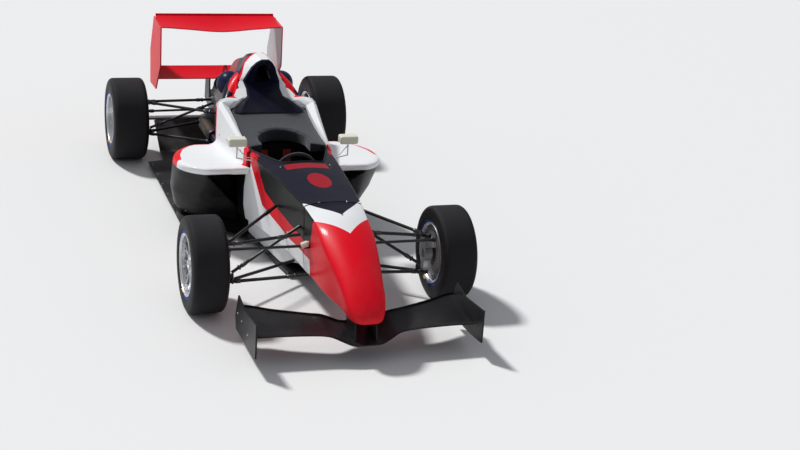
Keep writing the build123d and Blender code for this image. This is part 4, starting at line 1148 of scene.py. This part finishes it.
# %% Mirror finishes, glass and braces
MIRROR_PLACE = (0.345, at(849) + 0.030, 0.691)
STALK_TOP = 0.664
STALK_WHITE = (0.70, 0.71, 0.70)


def mirror_colour(finish):
    stalk = finish.z < STALK_TOP
    return finish.mix(stalk, CREAM, STALK_WHITE)


dress(lacquered("mirror_paint", mirror_colour, shine=0.4), "mirrors")
glass = Finish("mirror_glass", Metallic=1.0)
smears = glass.noise(40.0, 3.0, 0.6)
glass.set(Base_Color=glass.mix(smears, (0.78, 0.80, 0.83), (0.70, 0.72, 0.75)),
          Roughness=0.03 + smears * 0.05)


def rounded(half_x, half_z, corner, steps=5):
    """Outline of a rounded rectangle in x and z."""
    outline = []
    for turn, (sx, sz) in enumerate(((1, 1), (-1, 1), (-1, -1), (1, -1))):
        for step in range(steps + 1):
            angle = math.pi / 2 * (turn + step / steps)
            outline.append((
                sx * (half_x - corner) + corner * math.cos(angle),
                sz * (half_z - corner) + corner * math.sin(angle),
            ))
    return outline


panes, braces = [], []
for side in (1, -1):
    x, y, z = side * MIRROR_PLACE[0], MIRROR_PLACE[1], MIRROR_PLACE[2]
    outline = [(x + dx, y + 0.0002, z + dz) for dx, dz in rounded(0.051, 0.0200, 0.009)]
    panes.append(slab(outline, (0, 1, 0), 0.0016, 0.0006))
    foot = (side * 0.252, at(849), 0.588)
    braces.append(tube([(x, at(849), 0.655), (side * 0.290, at(838), 0.597), foot], 0.0028, 8))
settle("mirror_panes", mesh_of("mirror_panes", *panes), glass, "chassis")
stalk_paint = lacquered("stalk_paint", lambda finish: STALK_WHITE)
settle("mirror_braces", mesh_of("mirror_braces", *braces), stalk_paint, "chassis")

# %% [markdown]
# ## Sidepods with a rolled rim
# The pod is one moulding: its flat top rolls over into the flank in a full curve, and
# the inlet's lip is as round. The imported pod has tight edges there. A copy is merged
# and remeshed into even small faces, and a smoothing that is strong near the top and
# weak below rolls the rim without moving the flank.

# %% Rolled pods
POD_VOXEL = 0.0075
ROLL_DEPTH = 0.085
ROLL_ROUNDS = 60
ROLL_OUTSIDE = 0.345


def with_modifiers(obj):
    """The plain mesh of an object as its modifiers leave it."""
    graph = bpy.context.evaluated_depsgraph_get()
    return bpy.data.meshes.new_from_object(obj.evaluated_get(graph))


def even_skin(node, voxel, smoothing):
    """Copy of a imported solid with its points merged, in even small faces."""
    mesh = nodes[node].data.copy()
    shell = bmesh.new()
    shell.from_mesh(mesh)
    bmesh.ops.remove_doubles(shell, verts=shell.verts, dist=0.0001)
    shell.to_mesh(mesh)
    shell.free()
    work = bpy.data.objects.new(node + "_work", mesh)
    scene.collection.objects.link(work)
    remesh = work.modifiers.new("remesh", "REMESH")
    remesh.mode = "VOXEL"
    remesh.voxel_size = voxel
    relax = work.modifiers.new("relax", "SMOOTH")
    relax.factor = 0.5
    relax.iterations = smoothing
    made = with_modifiers(work)
    bpy.data.objects.remove(work)
    return made


def rolled(mesh, share_at, rounds):
    """The skin smoothed again and again, as strongly as share_at says of each point."""
    work = bpy.data.objects.new("roll_work", mesh)
    scene.collection.objects.link(work)
    soft = work.vertex_groups.new(name="soft")
    for vertex in mesh.vertices:
        share = max(0.0, min(1.0, share_at(vertex.co)))
        if share > 0:
            soft.add([vertex.index], share, "REPLACE")
    roll = work.modifiers.new("roll", "SMOOTH")
    roll.vertex_group = "soft"
    roll.factor = 0.6
    roll.iterations = rounds
    made = with_modifiers(work)
    bpy.data.objects.remove(work)
    return made


def level(points, place):
    """Height of a broken line at one place."""
    for (start, low), (end, high) in zip(points, points[1:]):
        if place <= end:
            share = max(place - start, 0) / (end - start)
            return low + share * (high - low)
    return points[-1][1]


def near_pod_top(point):
    """1 at the pod's top, 0 or less well below it, and 0 beside the cell."""
    drop = level(POD_TOP, point.y - FRONT_AXLE) - point.z
    return 1 - drop / ROLL_DEPTH if abs(point.x) > ROLL_OUTSIDE else 0


for side in ("left", "right"):
    skin = rolled(even_skin("sidepod_" + side, POD_VOXEL, 3), near_pod_top, ROLL_ROUNDS)
    made = settle("pod_" + side, skin, pod_paint, "chassis")
    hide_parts("sidepod_" + side)
print("faces in one pod:", len(made.data.polygons))

# %% [markdown]
# ## Nose cone with a full tip
# The nose is creased beside the front axle, and the crease fades forward into a full
# round tip. The same even skin is smoothed more and more towards the tip.

# %% Nose
NOSE_VOXEL = 0.0065
ROUND_FROM = at(-330)
ROUND_OVER = 0.45
NOSE_ROUNDS = 30


def near_tip(point):
    """0 or less behind ROUND_FROM, 1 at ROUND_OVER ahead of it and more beyond."""
    return (ROUND_FROM - point.y) / ROUND_OVER


nose = settle("nose_skin", rolled(even_skin("nose_cone", NOSE_VOXEL, 1), near_tip, NOSE_ROUNDS),
              cell_paint, "chassis")
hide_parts("nose_cone")
print("faces in the nose:", len(nose.data.polygons))

# %% [markdown]
# ## Cove at the foot of the white panel
# On the car the panel round the cockpit runs down into the top of each sidepod in a
# hollow curve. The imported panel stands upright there, so a swept filler with a
# quarter circle for its face is laid into each corner.

# %% Coves
COVE_START, COVE_GROWTH = 0.006, 0.040
COVE_FROM, COVE_STEP, COVE_RINGS = 940, 24.4, 25
GROWING_RINGS = 9
INTO_WALL, ABOVE_POD = 0.0004, 0.0003


def cove(side):
    """Filler between the panel's wall and the pod's top."""
    rings = []
    for step in range(COVE_RINGS):
        station = COVE_FROM + step * COVE_STEP
        reach = COVE_START + COVE_GROWTH * min(step / GROWING_RINGS, 1.0)
        wall = level(SHROUD_WALL, station / 1000) - INTO_WALL
        foot = level(POD_TOP, station / 1000) + ABOVE_POD
        ring = [(side * wall, at(station), foot)]
        for turn in range(9):
            angle = math.pi + turn / 8 * math.pi / 2
            ring.append((
                side * (wall + reach + reach * math.cos(angle)), at(station),
                foot + reach + reach * math.sin(angle),
            ))
        rings.append(ring)
    return rings_shape(rings)


settle("panel_coves", mesh_of("panel_coves", cove(1), cove(-1)), shroud_paint, "chassis")
print("cove reaches, in m:", COVE_START, "to", round(COVE_START + COVE_GROWTH, 3))

# %% [markdown]
# ## Head surround
# The collar behind and beside the head space is a block of firm foam in a dark cover.
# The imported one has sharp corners, so a copy is merged, remeshed into an even skin,
# relaxed and drawn in a little, and cloth pressure then gives the cover its crown.

# %% Foam collar
def cover_cloth(name, colour, thread=0.0016):
    """Tight woven cover: fine plain weave, with soft sheen and wide soft stains."""
    finish = Finish(name, Sheen_Weight=0.25, Sheen_Roughness=0.5)
    across, up = finish.flat_pair()
    warp = abs((across / thread * math.pi).sine())
    weft = abs((up / thread * math.pi).sine())
    wear = finish.noise(11.0, 4.0, 0.6).rise(0.4, 0.8)
    finish.set(
        Base_Color=finish.mix(wear * 0.4, colour, tuple(part * 2.2 for part in colour)),
        Roughness=0.78 + wear * 0.12,
        Normal=finish.bump(warp * weft * 0.5 + finish.noise(35.0, 3.0) * 0.8, 0.0005),
    )
    return finish


PAD_VOXEL = 0.0065
PAD_DRAW_IN = 0.003
PAD_CAP = 0.005
PAD_FRAMES = 14


def swollen(mesh):
    """The skin under a little air pressure, with each point's way capped."""
    rest = [vertex.co.copy() for vertex in mesh.vertices]
    work = bpy.data.objects.new("pad_work", mesh)
    scene.collection.objects.link(work)
    cloth = work.modifiers.new("cloth", "CLOTH")
    cloth.settings.use_pressure = True
    cloth.settings.uniform_pressure_force = 4.0
    cloth.settings.effector_weights.gravity = 0.0
    cloth.point_cache.frame_start = 1
    cloth.point_cache.frame_end = PAD_FRAMES
    for number in range(1, PAD_FRAMES + 1):
        scene.frame_set(number)
    made = with_modifiers(work)
    bpy.data.objects.remove(work)
    scene.frame_set(1)
    for vertex, start in zip(made.vertices, rest):
        step = vertex.co - start
        if step.length > PAD_CAP:
            vertex.co = start + step.normalized() * PAD_CAP
    return made


pad = even_skin("headrest", PAD_VOXEL, 8)
pad.update()
for vertex, normal in [(vertex, vertex.normal.copy()) for vertex in pad.vertices]:
    vertex.co -= normal * PAD_DRAW_IN
print("points in the collar's skin:", len(pad.vertices))
pad = swollen(pad)
collar = settle("head_surround", pad, cover_cloth("surround_cover", (0.010, 0.011, 0.018)),
                "chassis")
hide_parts("headrest")

# %% [markdown]
# ## Steering wheel
# A small wheel with a flat foot: round grips wrapped in suede, a carbon plate that
# holds a display and push buttons, and the column that runs on to the rack. It is
# drawn flat, with Y pointing down the wheel's face, and then laid on the column.

# %% Steering wheel
COLUMN_TILT = math.radians(15)
WHEEL_PLACE = (0.0, at(770), 0.528)
RING_RADIUS = 0.118
GRIP_RADIUS = 0.0125
FLAT_FOOT = 0.088
column_up = Vector((0, math.cos(COLUMN_TILT), math.sin(COLUMN_TILT)))
column_down = Vector((0, math.sin(COLUMN_TILT), -math.cos(COLUMN_TILT)))
on_column = Matrix((Vector((1, 0, 0)), column_down, column_up)).transposed().to_4x4()
on_column.translation = WHEEL_PLACE


def grip_shape():
    """Ring that is open at the foot, slimmer at its top and with rounded ends."""
    start = math.asin(FLAT_FOOT / RING_RADIUS)
    sweep = 2 * math.pi - (math.pi - 2 * start)
    path, radii = [], []
    for step in range(49):
        share = step / 48
        angle = start - sweep * share
        path.append((RING_RADIUS * math.cos(angle), RING_RADIUS * math.sin(angle), 0))
        slim = math.sin(math.pi * share) ** 2
        end = min(share, 1 - share) * 48
        radii.append((GRIP_RADIUS - 0.002 * slim) * min(0.6 + end * 0.2, 1.0))
    return tube(path, radii, 14)


def plate_shape():
    """Carbon plate of the wheel, waisted between the grips and the boss."""
    outline = [
        (-0.112, -0.016), (-0.075, -0.026), (-0.045, -0.029), (0.045, -0.029), (0.075, -0.026),
        (0.112, -0.016), (0.112, 0.016), (0.075, 0.024), (0.040, 0.029), (-0.040, 0.029),
        (-0.075, 0.024), (-0.112, 0.016),
    ]
    return slab([(x, y, -0.010) for x, y in outline], (0, 0, 1), 0.020, 0.003)


suede = cover_cloth("grip_suede", (0.014, 0.014, 0.015), thread=0.0009)
grips = mesh_of("wheel_grips", moved(grip_shape(), on_column))
grips = settle("wheel_grips", grips, suede, "steering_wheel")
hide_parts("steering_wheel")
plate = mesh_of("wheel_plate", moved(plate_shape(), on_column),
                moved(tube([(0, 0, -0.005), (0, 0, -0.298)], 0.0108, 20), on_column))
settle("wheel_plate", plate, body_carbon, "steering_wheel")
screen = [(-0.030, -0.019, 0.0102), (0.030, -0.019, 0.0102), (0.030, 0.008, 0.0102),
          (-0.030, 0.008, 0.0102)]
display = Finish("display", Roughness=0.12, Coat_Weight=0.6)
display.set(Base_Color=display.mix(display.noise(160.0, 1.0), (0.006, 0.010, 0.012),
                                   (0.014, 0.022, 0.026)))
settle("wheel_display", mesh_of("wheel_display", moved(slab(screen, (0, 0, 1), 0.002, 0.0008),
                                                       on_column)),
       display, "steering_wheel")

# %% [markdown]
# ## Parts set on points
# Screws, push buttons and lock nuts are one small shape set many times, each standing
# square to what carries it. A geometry tree takes loose points, each with the way it
# faces, sets the shape on every one and turns it at random about its own axis.

# %% Tree that sets parts on points
def points_tree():
    tree = Tree("set_on_points", Size=1.0, Seed=7)
    facing = tree.node("GeometryNodeInputNamedAttribute", {"data_type": "FLOAT_VECTOR"},
                       {"Name": "facing"})
    turned = tree.node("FunctionNodeAlignRotationToVector", {"axis": "Z"}, {"Vector": facing})
    part = tree.node("GeometryNodeObjectInfo", {}, {"Object": tree.given("Part")},
                     output="Geometry")
    spread = tree.node("GeometryNodeInstanceOnPoints", {}, {
        "Points": tree.given("Geometry"), "Instance": part, "Rotation": turned,
        "Scale": tree.given("Size"),
    })
    chance = tree.node("FunctionNodeRandomValue", {"data_type": "FLOAT"}, {
        2: 0.0, 3: 2 * math.pi, "Seed": tree.given("Seed"),
    }, output=1)
    spin = tree.node("ShaderNodeCombineXYZ", {}, [0.0, 0.0, chance])
    tree.close(tree.node("GeometryNodeRotateInstances", {},
                         {"Instances": spread, "Rotation": spin}))
    return tree


set_on_points = points_tree()


def part_object(name, *shapes):
    """Shape that the tree sets on points, drawn about the origin with Z up."""
    made = bpy.data.objects.new(name, mesh_of(name, *shapes))
    scene.collection.objects.link(made)
    made.hide_render = True
    return made


def set_parts(name, part, places, finish, body, size=1.0):
    """Sets a part on (place, way) pairs as one piece."""
    mesh = bpy.data.meshes.new(name)
    mesh.from_pydata([tuple(place) for place, _ in places], [], [])
    facing = mesh.attributes.new("facing", "FLOAT_VECTOR", "POINT")
    facing.data.foreach_set("vector", [part for _, way in places for part in way])
    grown = set_on_points.grow(name, mesh, finish, part=part, Size=size)
    return settle(name, grown, finish, body)


def upright(shape):
    """A turned shape, from about the X axis to about the Z axis."""
    return moved(shape, Matrix.Rotation(-math.pi / 2, 4, "Y"))


screw_part = part_object("screw_part", upright(lathe([
    (-0.0010, 0.0002), (-0.0010, 0.0060), (0.0012, 0.0060), (0.0024, 0.0048), (0.0026, 0.0030),
    (0.0006, 0.0026), (0.0004, 0.0002),
], 12)))
nut_part = part_object("nut_part", upright(lathe([
    (-0.006, 0.0060), (-0.006, 0.0150), (-0.004, 0.0165), (0.004, 0.0165), (0.006, 0.0150),
    (0.006, 0.0060),
], 6)))
button_part = part_object("button_part", upright(lathe([
    (0.0, 0.0002), (0.0, 0.0062), (0.0016, 0.0060), (0.0018, 0.0046), (0.0050, 0.0042),
    (0.0056, 0.0034), (0.0058, 0.0002),
], 16)))

# %% [markdown]
# ## Where the screws go
# A screw is placed by a ray that starts clear of a piece and runs towards it. Where
# the ray lands is the screw's place, and the surface there gives its way. So a screw
# always sits on what carries it.

# %% Screws
skins = {}


def landed(name, start, way):
    """Place and facing where a ray lands on a piece, or nothing."""
    if name not in skins:
        mesh = bpy.data.objects[name].data
        skins[name] = BVHTree.FromPolygons(
            [vertex.co for vertex in mesh.vertices], [face.vertices for face in mesh.polygons],
        )
    place, normal, _, _ = skins[name].ray_cast(Vector(start), Vector(way).normalized())
    if place is None:
        return []
    return [(place, normal if normal.dot(Vector(way)) < 0 else -normal)]


DOWN = (0, 0, -1)
ABOVE_CAR, BESIDE_CAR = 1.2, 1.0
screws = []
for x, station in ((0.080, -38), (-0.080, -38), (0.0, -221), (0.150, 560), (-0.150, 560)):
    node = "nose_skin" if station < -41 else "monocoque"
    screws += landed(node, (x, at(station), ABOVE_CAR), DOWN)
for side in (1, -1):
    pod = "pod_left" if side > 0 else "pod_right"
    inward = (-side, 0, 0)
    for station in (1180, 1300, 1420):
        screws += landed(pod, (side * BESIDE_CAR, at(station), 0.10), inward)
    for station in (1040, 1180, 1320, 1460):
        height = level(POD_TOP, station / 1000) + 0.075
        screws += landed("cockpit_shroud", (side * BESIDE_CAR, at(station), height), inward)
    for y in (behind(-560), behind(-420), behind(-280), behind(-140)):
        screws += landed("engine_cover", (side * BESIDE_CAR, y, 0.475), inward)
    for station in (1420, 1600, 1800, 2000, 2200, 2400):
        screws += landed("floor", (side * 0.575, at(station), 0.5), DOWN)
    for y, z in ((at(-700), 0.158), (at(-560), 0.172), (at(-470), 0.178)):
        screws += landed("front_wing_endplates", (side * BESIDE_CAR, y, z), inward)
    for y, z in ((behind(250), 0.885), (behind(350), 0.880), (behind(440), 0.902),
                 (behind(330), 0.497), (behind(440), 0.522)):
        screws += landed("rear_wing_endplates", (side * BESIDE_CAR, y, z), inward)
    for y, z in ((behind(340), 0.47), (behind(430), 0.47), (behind(350), 0.335)):
        screws += landed("rear_crash_box", (side * BESIDE_CAR, y, z), inward)
for x, z in ((0.036, 0.329), (-0.036, 0.329), (0.036, 0.287), (-0.036, 0.287)):
    screws += landed("rain_light", (x, behind(900), z), (0, -1, 0))
set_parts("body_screws", screw_part, screws, bright_steel, "chassis")
print("screws:", len(screws))

# %% Buttons of the steering wheel
buttons = []
for x, y in ((-0.090, -0.008), (-0.068, -0.015), (-0.090, 0.010), (-0.066, 0.012),
             (0.090, -0.008), (0.068, -0.015), (0.090, 0.010), (0.066, 0.012)):
    buttons.append((on_column @ Vector((x, y, 0.010)), column_up))
button_finish = Finish("button_plastic", Coat_Weight=0.3)
left = button_finish.x > 0
button_finish.set(Base_Color=button_finish.mix(left, (0.50, 0.02, 0.02), (0.03, 0.12, 0.40)),
                  Roughness=0.35 + button_finish.noise(300.0) * 0.1)
set_parts("wheel_buttons", button_part, buttons, button_finish, "steering_wheel")

# %% [markdown]
# ## Ends of the suspension tubes
# Each tube screws onto a bearing end and is held by a lock nut, with a slim collar
# beside it. The list repeats the tubes' ends, outer end first.

# %% Lock nuts and collars
FRONT_EYE = 0.590
REAR_EYE = 0.600
TUBES = [
    ((FRONT_EYE, at(0), 0.376), (0.172, at(-18), 0.425)),
    ((FRONT_EYE, at(0), 0.376), (0.204, at(410), 0.440)),
    ((FRONT_EYE, at(0), 0.155), (0.138, at(-134), 0.229)),
    ((0.545, at(6), 0.208), (0.160, at(34), 0.456)),
    ((REAR_EYE, behind(0), 0.405), (0.095, behind(-270), 0.388)),
    ((REAR_EYE, behind(0), 0.405), (0.075, behind(140), 0.372)),
    ((REAR_EYE, behind(0), 0.176), (0.095, behind(-360), 0.200)),
    ((REAR_EYE, behind(0), 0.176), (0.075, behind(140), 0.222)),
    ((REAR_EYE, behind(80), 0.310), (0.060, behind(110), 0.310)),
    ((0.552, behind(-34), 0.222), (0.100, behind(-34), 0.398)),
]
OUTER_NUT, INNER_NUT, COLLAR_GAP = 0.050, 0.080, 0.013
SLEEVE = [(0.0, 0.0105), (0.004, 0.0125), (0.030, 0.0125), (0.034, 0.0105)]
nuts, sleeves = [], []
for outer, inner in TUBES:
    for side in (1, -1):
        start = Vector((side * outer[0], *outer[1:]))
        end = Vector((side * inner[0], *inner[1:]))
        way = (end - start).normalized()
        for place, sign in ((start + way * OUTER_NUT, 1), (end - way * INNER_NUT, -1)):
            nuts.append((place, way * sign))
            low = place + way * sign * COLLAR_GAP
            path = [low + way * sign * along for along, _ in SLEEVE]
            sleeves.append(tube(path, [radius for _, radius in SLEEVE], 14))
set_parts("lock_nuts", nut_part, nuts, dark_steel, "chassis", size=0.9)
settle("tube_sleeves", mesh_of("tube_sleeves", *sleeves), dark_steel, "chassis")
print("lock nuts:", len(nuts))

# %% [markdown]
# ## Cockpit fittings
# A rubber strip covers the raw edge of the cockpit's mouth. Two shoulder straps, two
# lap straps and a round buckle lie over the seat. Their points are given and
# stand clear of the seat: up to 54 mm, 66 mm and 79 mm. A real belt would lie on it.

# %% Edge strip
OFF_THE_EDGE = 0.003
STRIP_RADIUS = 0.0055


def mouth_path():
    """Points along the cockpit's mouth, on the left half from front to back."""
    plan = [(0.0, 603), (0.060, 603), (0.100, 606), (0.124, 622), (0.150, 690), (0.185, 790),
            (0.222, 900), (0.233, 940), (0.234, 990)]
    path = []
    for x, station in plan:
        above = (x + OFF_THE_EDGE, at(station) - OFF_THE_EDGE, ABOVE_CAR)
        path += [place for place, _ in landed("monocoque", above, DOWN)]
    return path


strip_rubber = Finish("strip_rubber", Specular_IOR_Level=0.2)
strip_rubber.set(
    Base_Color=strip_rubber.mix(
        strip_rubber.noise(90.0), (0.006, 0.006, 0.007), (0.014, 0.014, 0.014)),
    Roughness=0.55 + strip_rubber.noise(60.0) * 0.2,
    Normal=strip_rubber.bump(strip_rubber.noise(700.0, 2.0), 0.0002),
)
half_mouth = mouth_path()
whole_mouth = [Vector((-p.x, p.y, p.z)) for p in reversed(half_mouth)] + half_mouth
settle("mouth_strip", mesh_of("mouth_strip", tube(whole_mouth, STRIP_RADIUS, 10)), strip_rubber,
       "chassis")
print("points on the mouth:", len(whole_mouth))

# %% Straps and buckle
STRAP_WIDTH = 0.050
STRAP_THICKNESS = 0.0022
RIB_PITCH, THREAD_PITCH = 0.0022, 0.0016
BUCKLE_TILT = math.radians(18)


def webbing():
    """Belt webbing: fine ribs across the strap and a soft sheen."""
    finish = Finish("strap_webbing", Sheen_Weight=0.3)
    ribs = (abs((finish.z / RIB_PITCH * math.pi).sine())
            * abs((finish.x / THREAD_PITCH * math.pi).sine()))
    worn = finish.noise(30.0, 3.0).rise(0.45, 0.7)
    finish.set(
        Base_Color=finish.mix(worn * 0.35, (0.34, 0.010, 0.014), (0.42, 0.05, 0.05)),
        Roughness=0.72 + worn * 0.1, Normal=finish.bump(ribs, 0.0006),
    )
    return finish


def strap_shape(path, across):
    """Flat strap along a path, with the way across it."""
    rings = []
    for index, point in enumerate(path):
        point = Vector(point)
        ahead = Vector(path[min(index + 1, len(path) - 1)]) - Vector(path[max(index - 1, 0)])
        side = Vector(across).normalized() * STRAP_WIDTH / 2
        up = ahead.normalized().cross(side.normalized()) * STRAP_THICKNESS
        rings.append([point - side, point + side, point + side + up, point - side + up])
    return rings_shape(rings)


webbing_finish = webbing()
BUCKLE_PLACE = Vector((0, at(1105), 0.232))
straps = {}
for side, word in ((1, "left"), (-1, "right")):
    straps["shoulder_" + word] = ([
        (side * 0.075, at(1272), 0.500), (side * 0.072, at(1256), 0.445),
        (side * 0.068, at(1226), 0.380), (side * 0.060, at(1190), 0.310),
        (side * 0.048, at(1150), 0.262), (side * 0.034, at(1118), 0.240),
    ], (1, 0, 0))
    straps["lap_" + word] = ([
        (side * 0.132, at(1150), 0.250), (side * 0.110, at(1132), 0.241),
        (side * 0.075, at(1116), 0.236), (side * 0.036, at(1106), 0.233),
    ], (0, 0.5, 0.35))
for name, (path, across) in straps.items():
    made = settle("strap_" + name, mesh_of(name, strap_shape(path, across)), webbing_finish,
                  "chassis")
buckle = moved(upright(lathe([
    (-0.004, 0.001), (-0.004, 0.030), (0.006, 0.031), (0.010, 0.027), (0.010, 0.014),
    (0.013, 0.012), (0.013, 0.001),
], 24)), Matrix.Translation(BUCKLE_PLACE) @ Matrix.Rotation(BUCKLE_TILT, 4, "X"))
settle("strap_buckle", mesh_of("strap_buckle", buckle), dark_steel, "chassis")
print("straps:", len(straps))

# %% [markdown]
# ## Fluid bottle on the nose
# Beside the inner end of the right tie rod a black bracket carries a small cream
# bottle with a red cap.

# %% Bottle and bracket
BOTTLE_PLACE = Vector((-0.176, at(-138), 0.412))
BOTTLE_LEAN = math.radians(70)
on_nose = Matrix.Translation(BOTTLE_PLACE) @ Matrix.Rotation(BOTTLE_LEAN, 4, "Y")
bottle = moved(upright(lathe([
    (-0.022, 0.0005), (-0.022, 0.014), (-0.018, 0.0175), (0.014, 0.0175), (0.019, 0.013),
    (0.024, 0.011), (0.024, 0.0005),
], 24)), on_nose)
cap = moved(upright(lathe([
    (0.024, 0.0005), (0.024, 0.0125), (0.027, 0.0135), (0.034, 0.0130), (0.036, 0.011),
    (0.036, 0.0005),
], 16)), on_nose)
arm = slab([(-0.145, at(-160), 0.396), (-0.145, at(-112), 0.396), (-0.185, at(-122), 0.392),
            (-0.185, at(-152), 0.392)], (0, 0, 1), 0.004, 0.001)
moulded = lacquered("bottle_plastic", lambda finish: CREAM, shine=0.2)
cap_red = lacquered("cap_plastic", lambda finish: RED, shine=0.2)
settle("fluid_bottle", mesh_of("fluid_bottle", bottle), moulded, "chassis")
settle("bottle_cap", mesh_of("bottle_cap", cap), cap_red, "chassis")
settle("bottle_bracket", mesh_of("bottle_bracket", arm), enamel, "chassis")
print("bottle at", tuple(round(part, 3) for part in BOTTLE_PLACE))

# %% [markdown]
# ## Floor and light
# A pale floor and a soft key light from the car's right rear, as the sun stood, with a
# dim sky that fills the shadows.

# %% Floor, lights and world
FLOOR_HALF = 60
KEY_STRENGTH, KEY_SPREAD = 3.0, 0.12
KEY_FROM = (-0.45, 0.55, 0.9)
SKY_COLOUR, SKY_STRENGTH = (0.9, 0.93, 1.0, 1.0), 0.36
floor_mesh = bpy.data.meshes.new("studio_floor")
floor_corners = [
    (x * FLOOR_HALF, y * FLOOR_HALF, 0) for x, y in ((-1, -1), (1, -1), (1, 1), (-1, 1))
]
floor_mesh.from_pydata(floor_corners, [], [(0, 1, 2, 3)])
studio_floor = bpy.data.objects.new("studio_floor", floor_mesh)
scene.collection.objects.link(studio_floor)
floor_finish = Finish("floor_finish", Base_Color=(0.78, 0.78, 0.77), Roughness=0.9)
floor_mesh.materials.append(floor_finish.material)

sun_data = bpy.data.lights.new("key", "SUN")
sun_data.energy = KEY_STRENGTH
sun_data.angle = KEY_SPREAD
sun = bpy.data.objects.new("key", sun_data)
sun.matrix_world = Vector(KEY_FROM).to_track_quat("Z", "Y").to_matrix().to_4x4()
scene.collection.objects.link(sun)

world = bpy.data.worlds.new("studio")
world.use_nodes = True
sky = world.node_tree.nodes["Background"].inputs
sky["Color"].default_value = SKY_COLOUR
sky["Strength"].default_value = SKY_STRENGTH
scene.world = world
scene.view_settings.view_transform = "Standard"

# %% Close
undressed = [
    name for name, node in nodes.items() if not node.data.materials and not node.hide_render
]
print("nodes without a finish:", undressed)
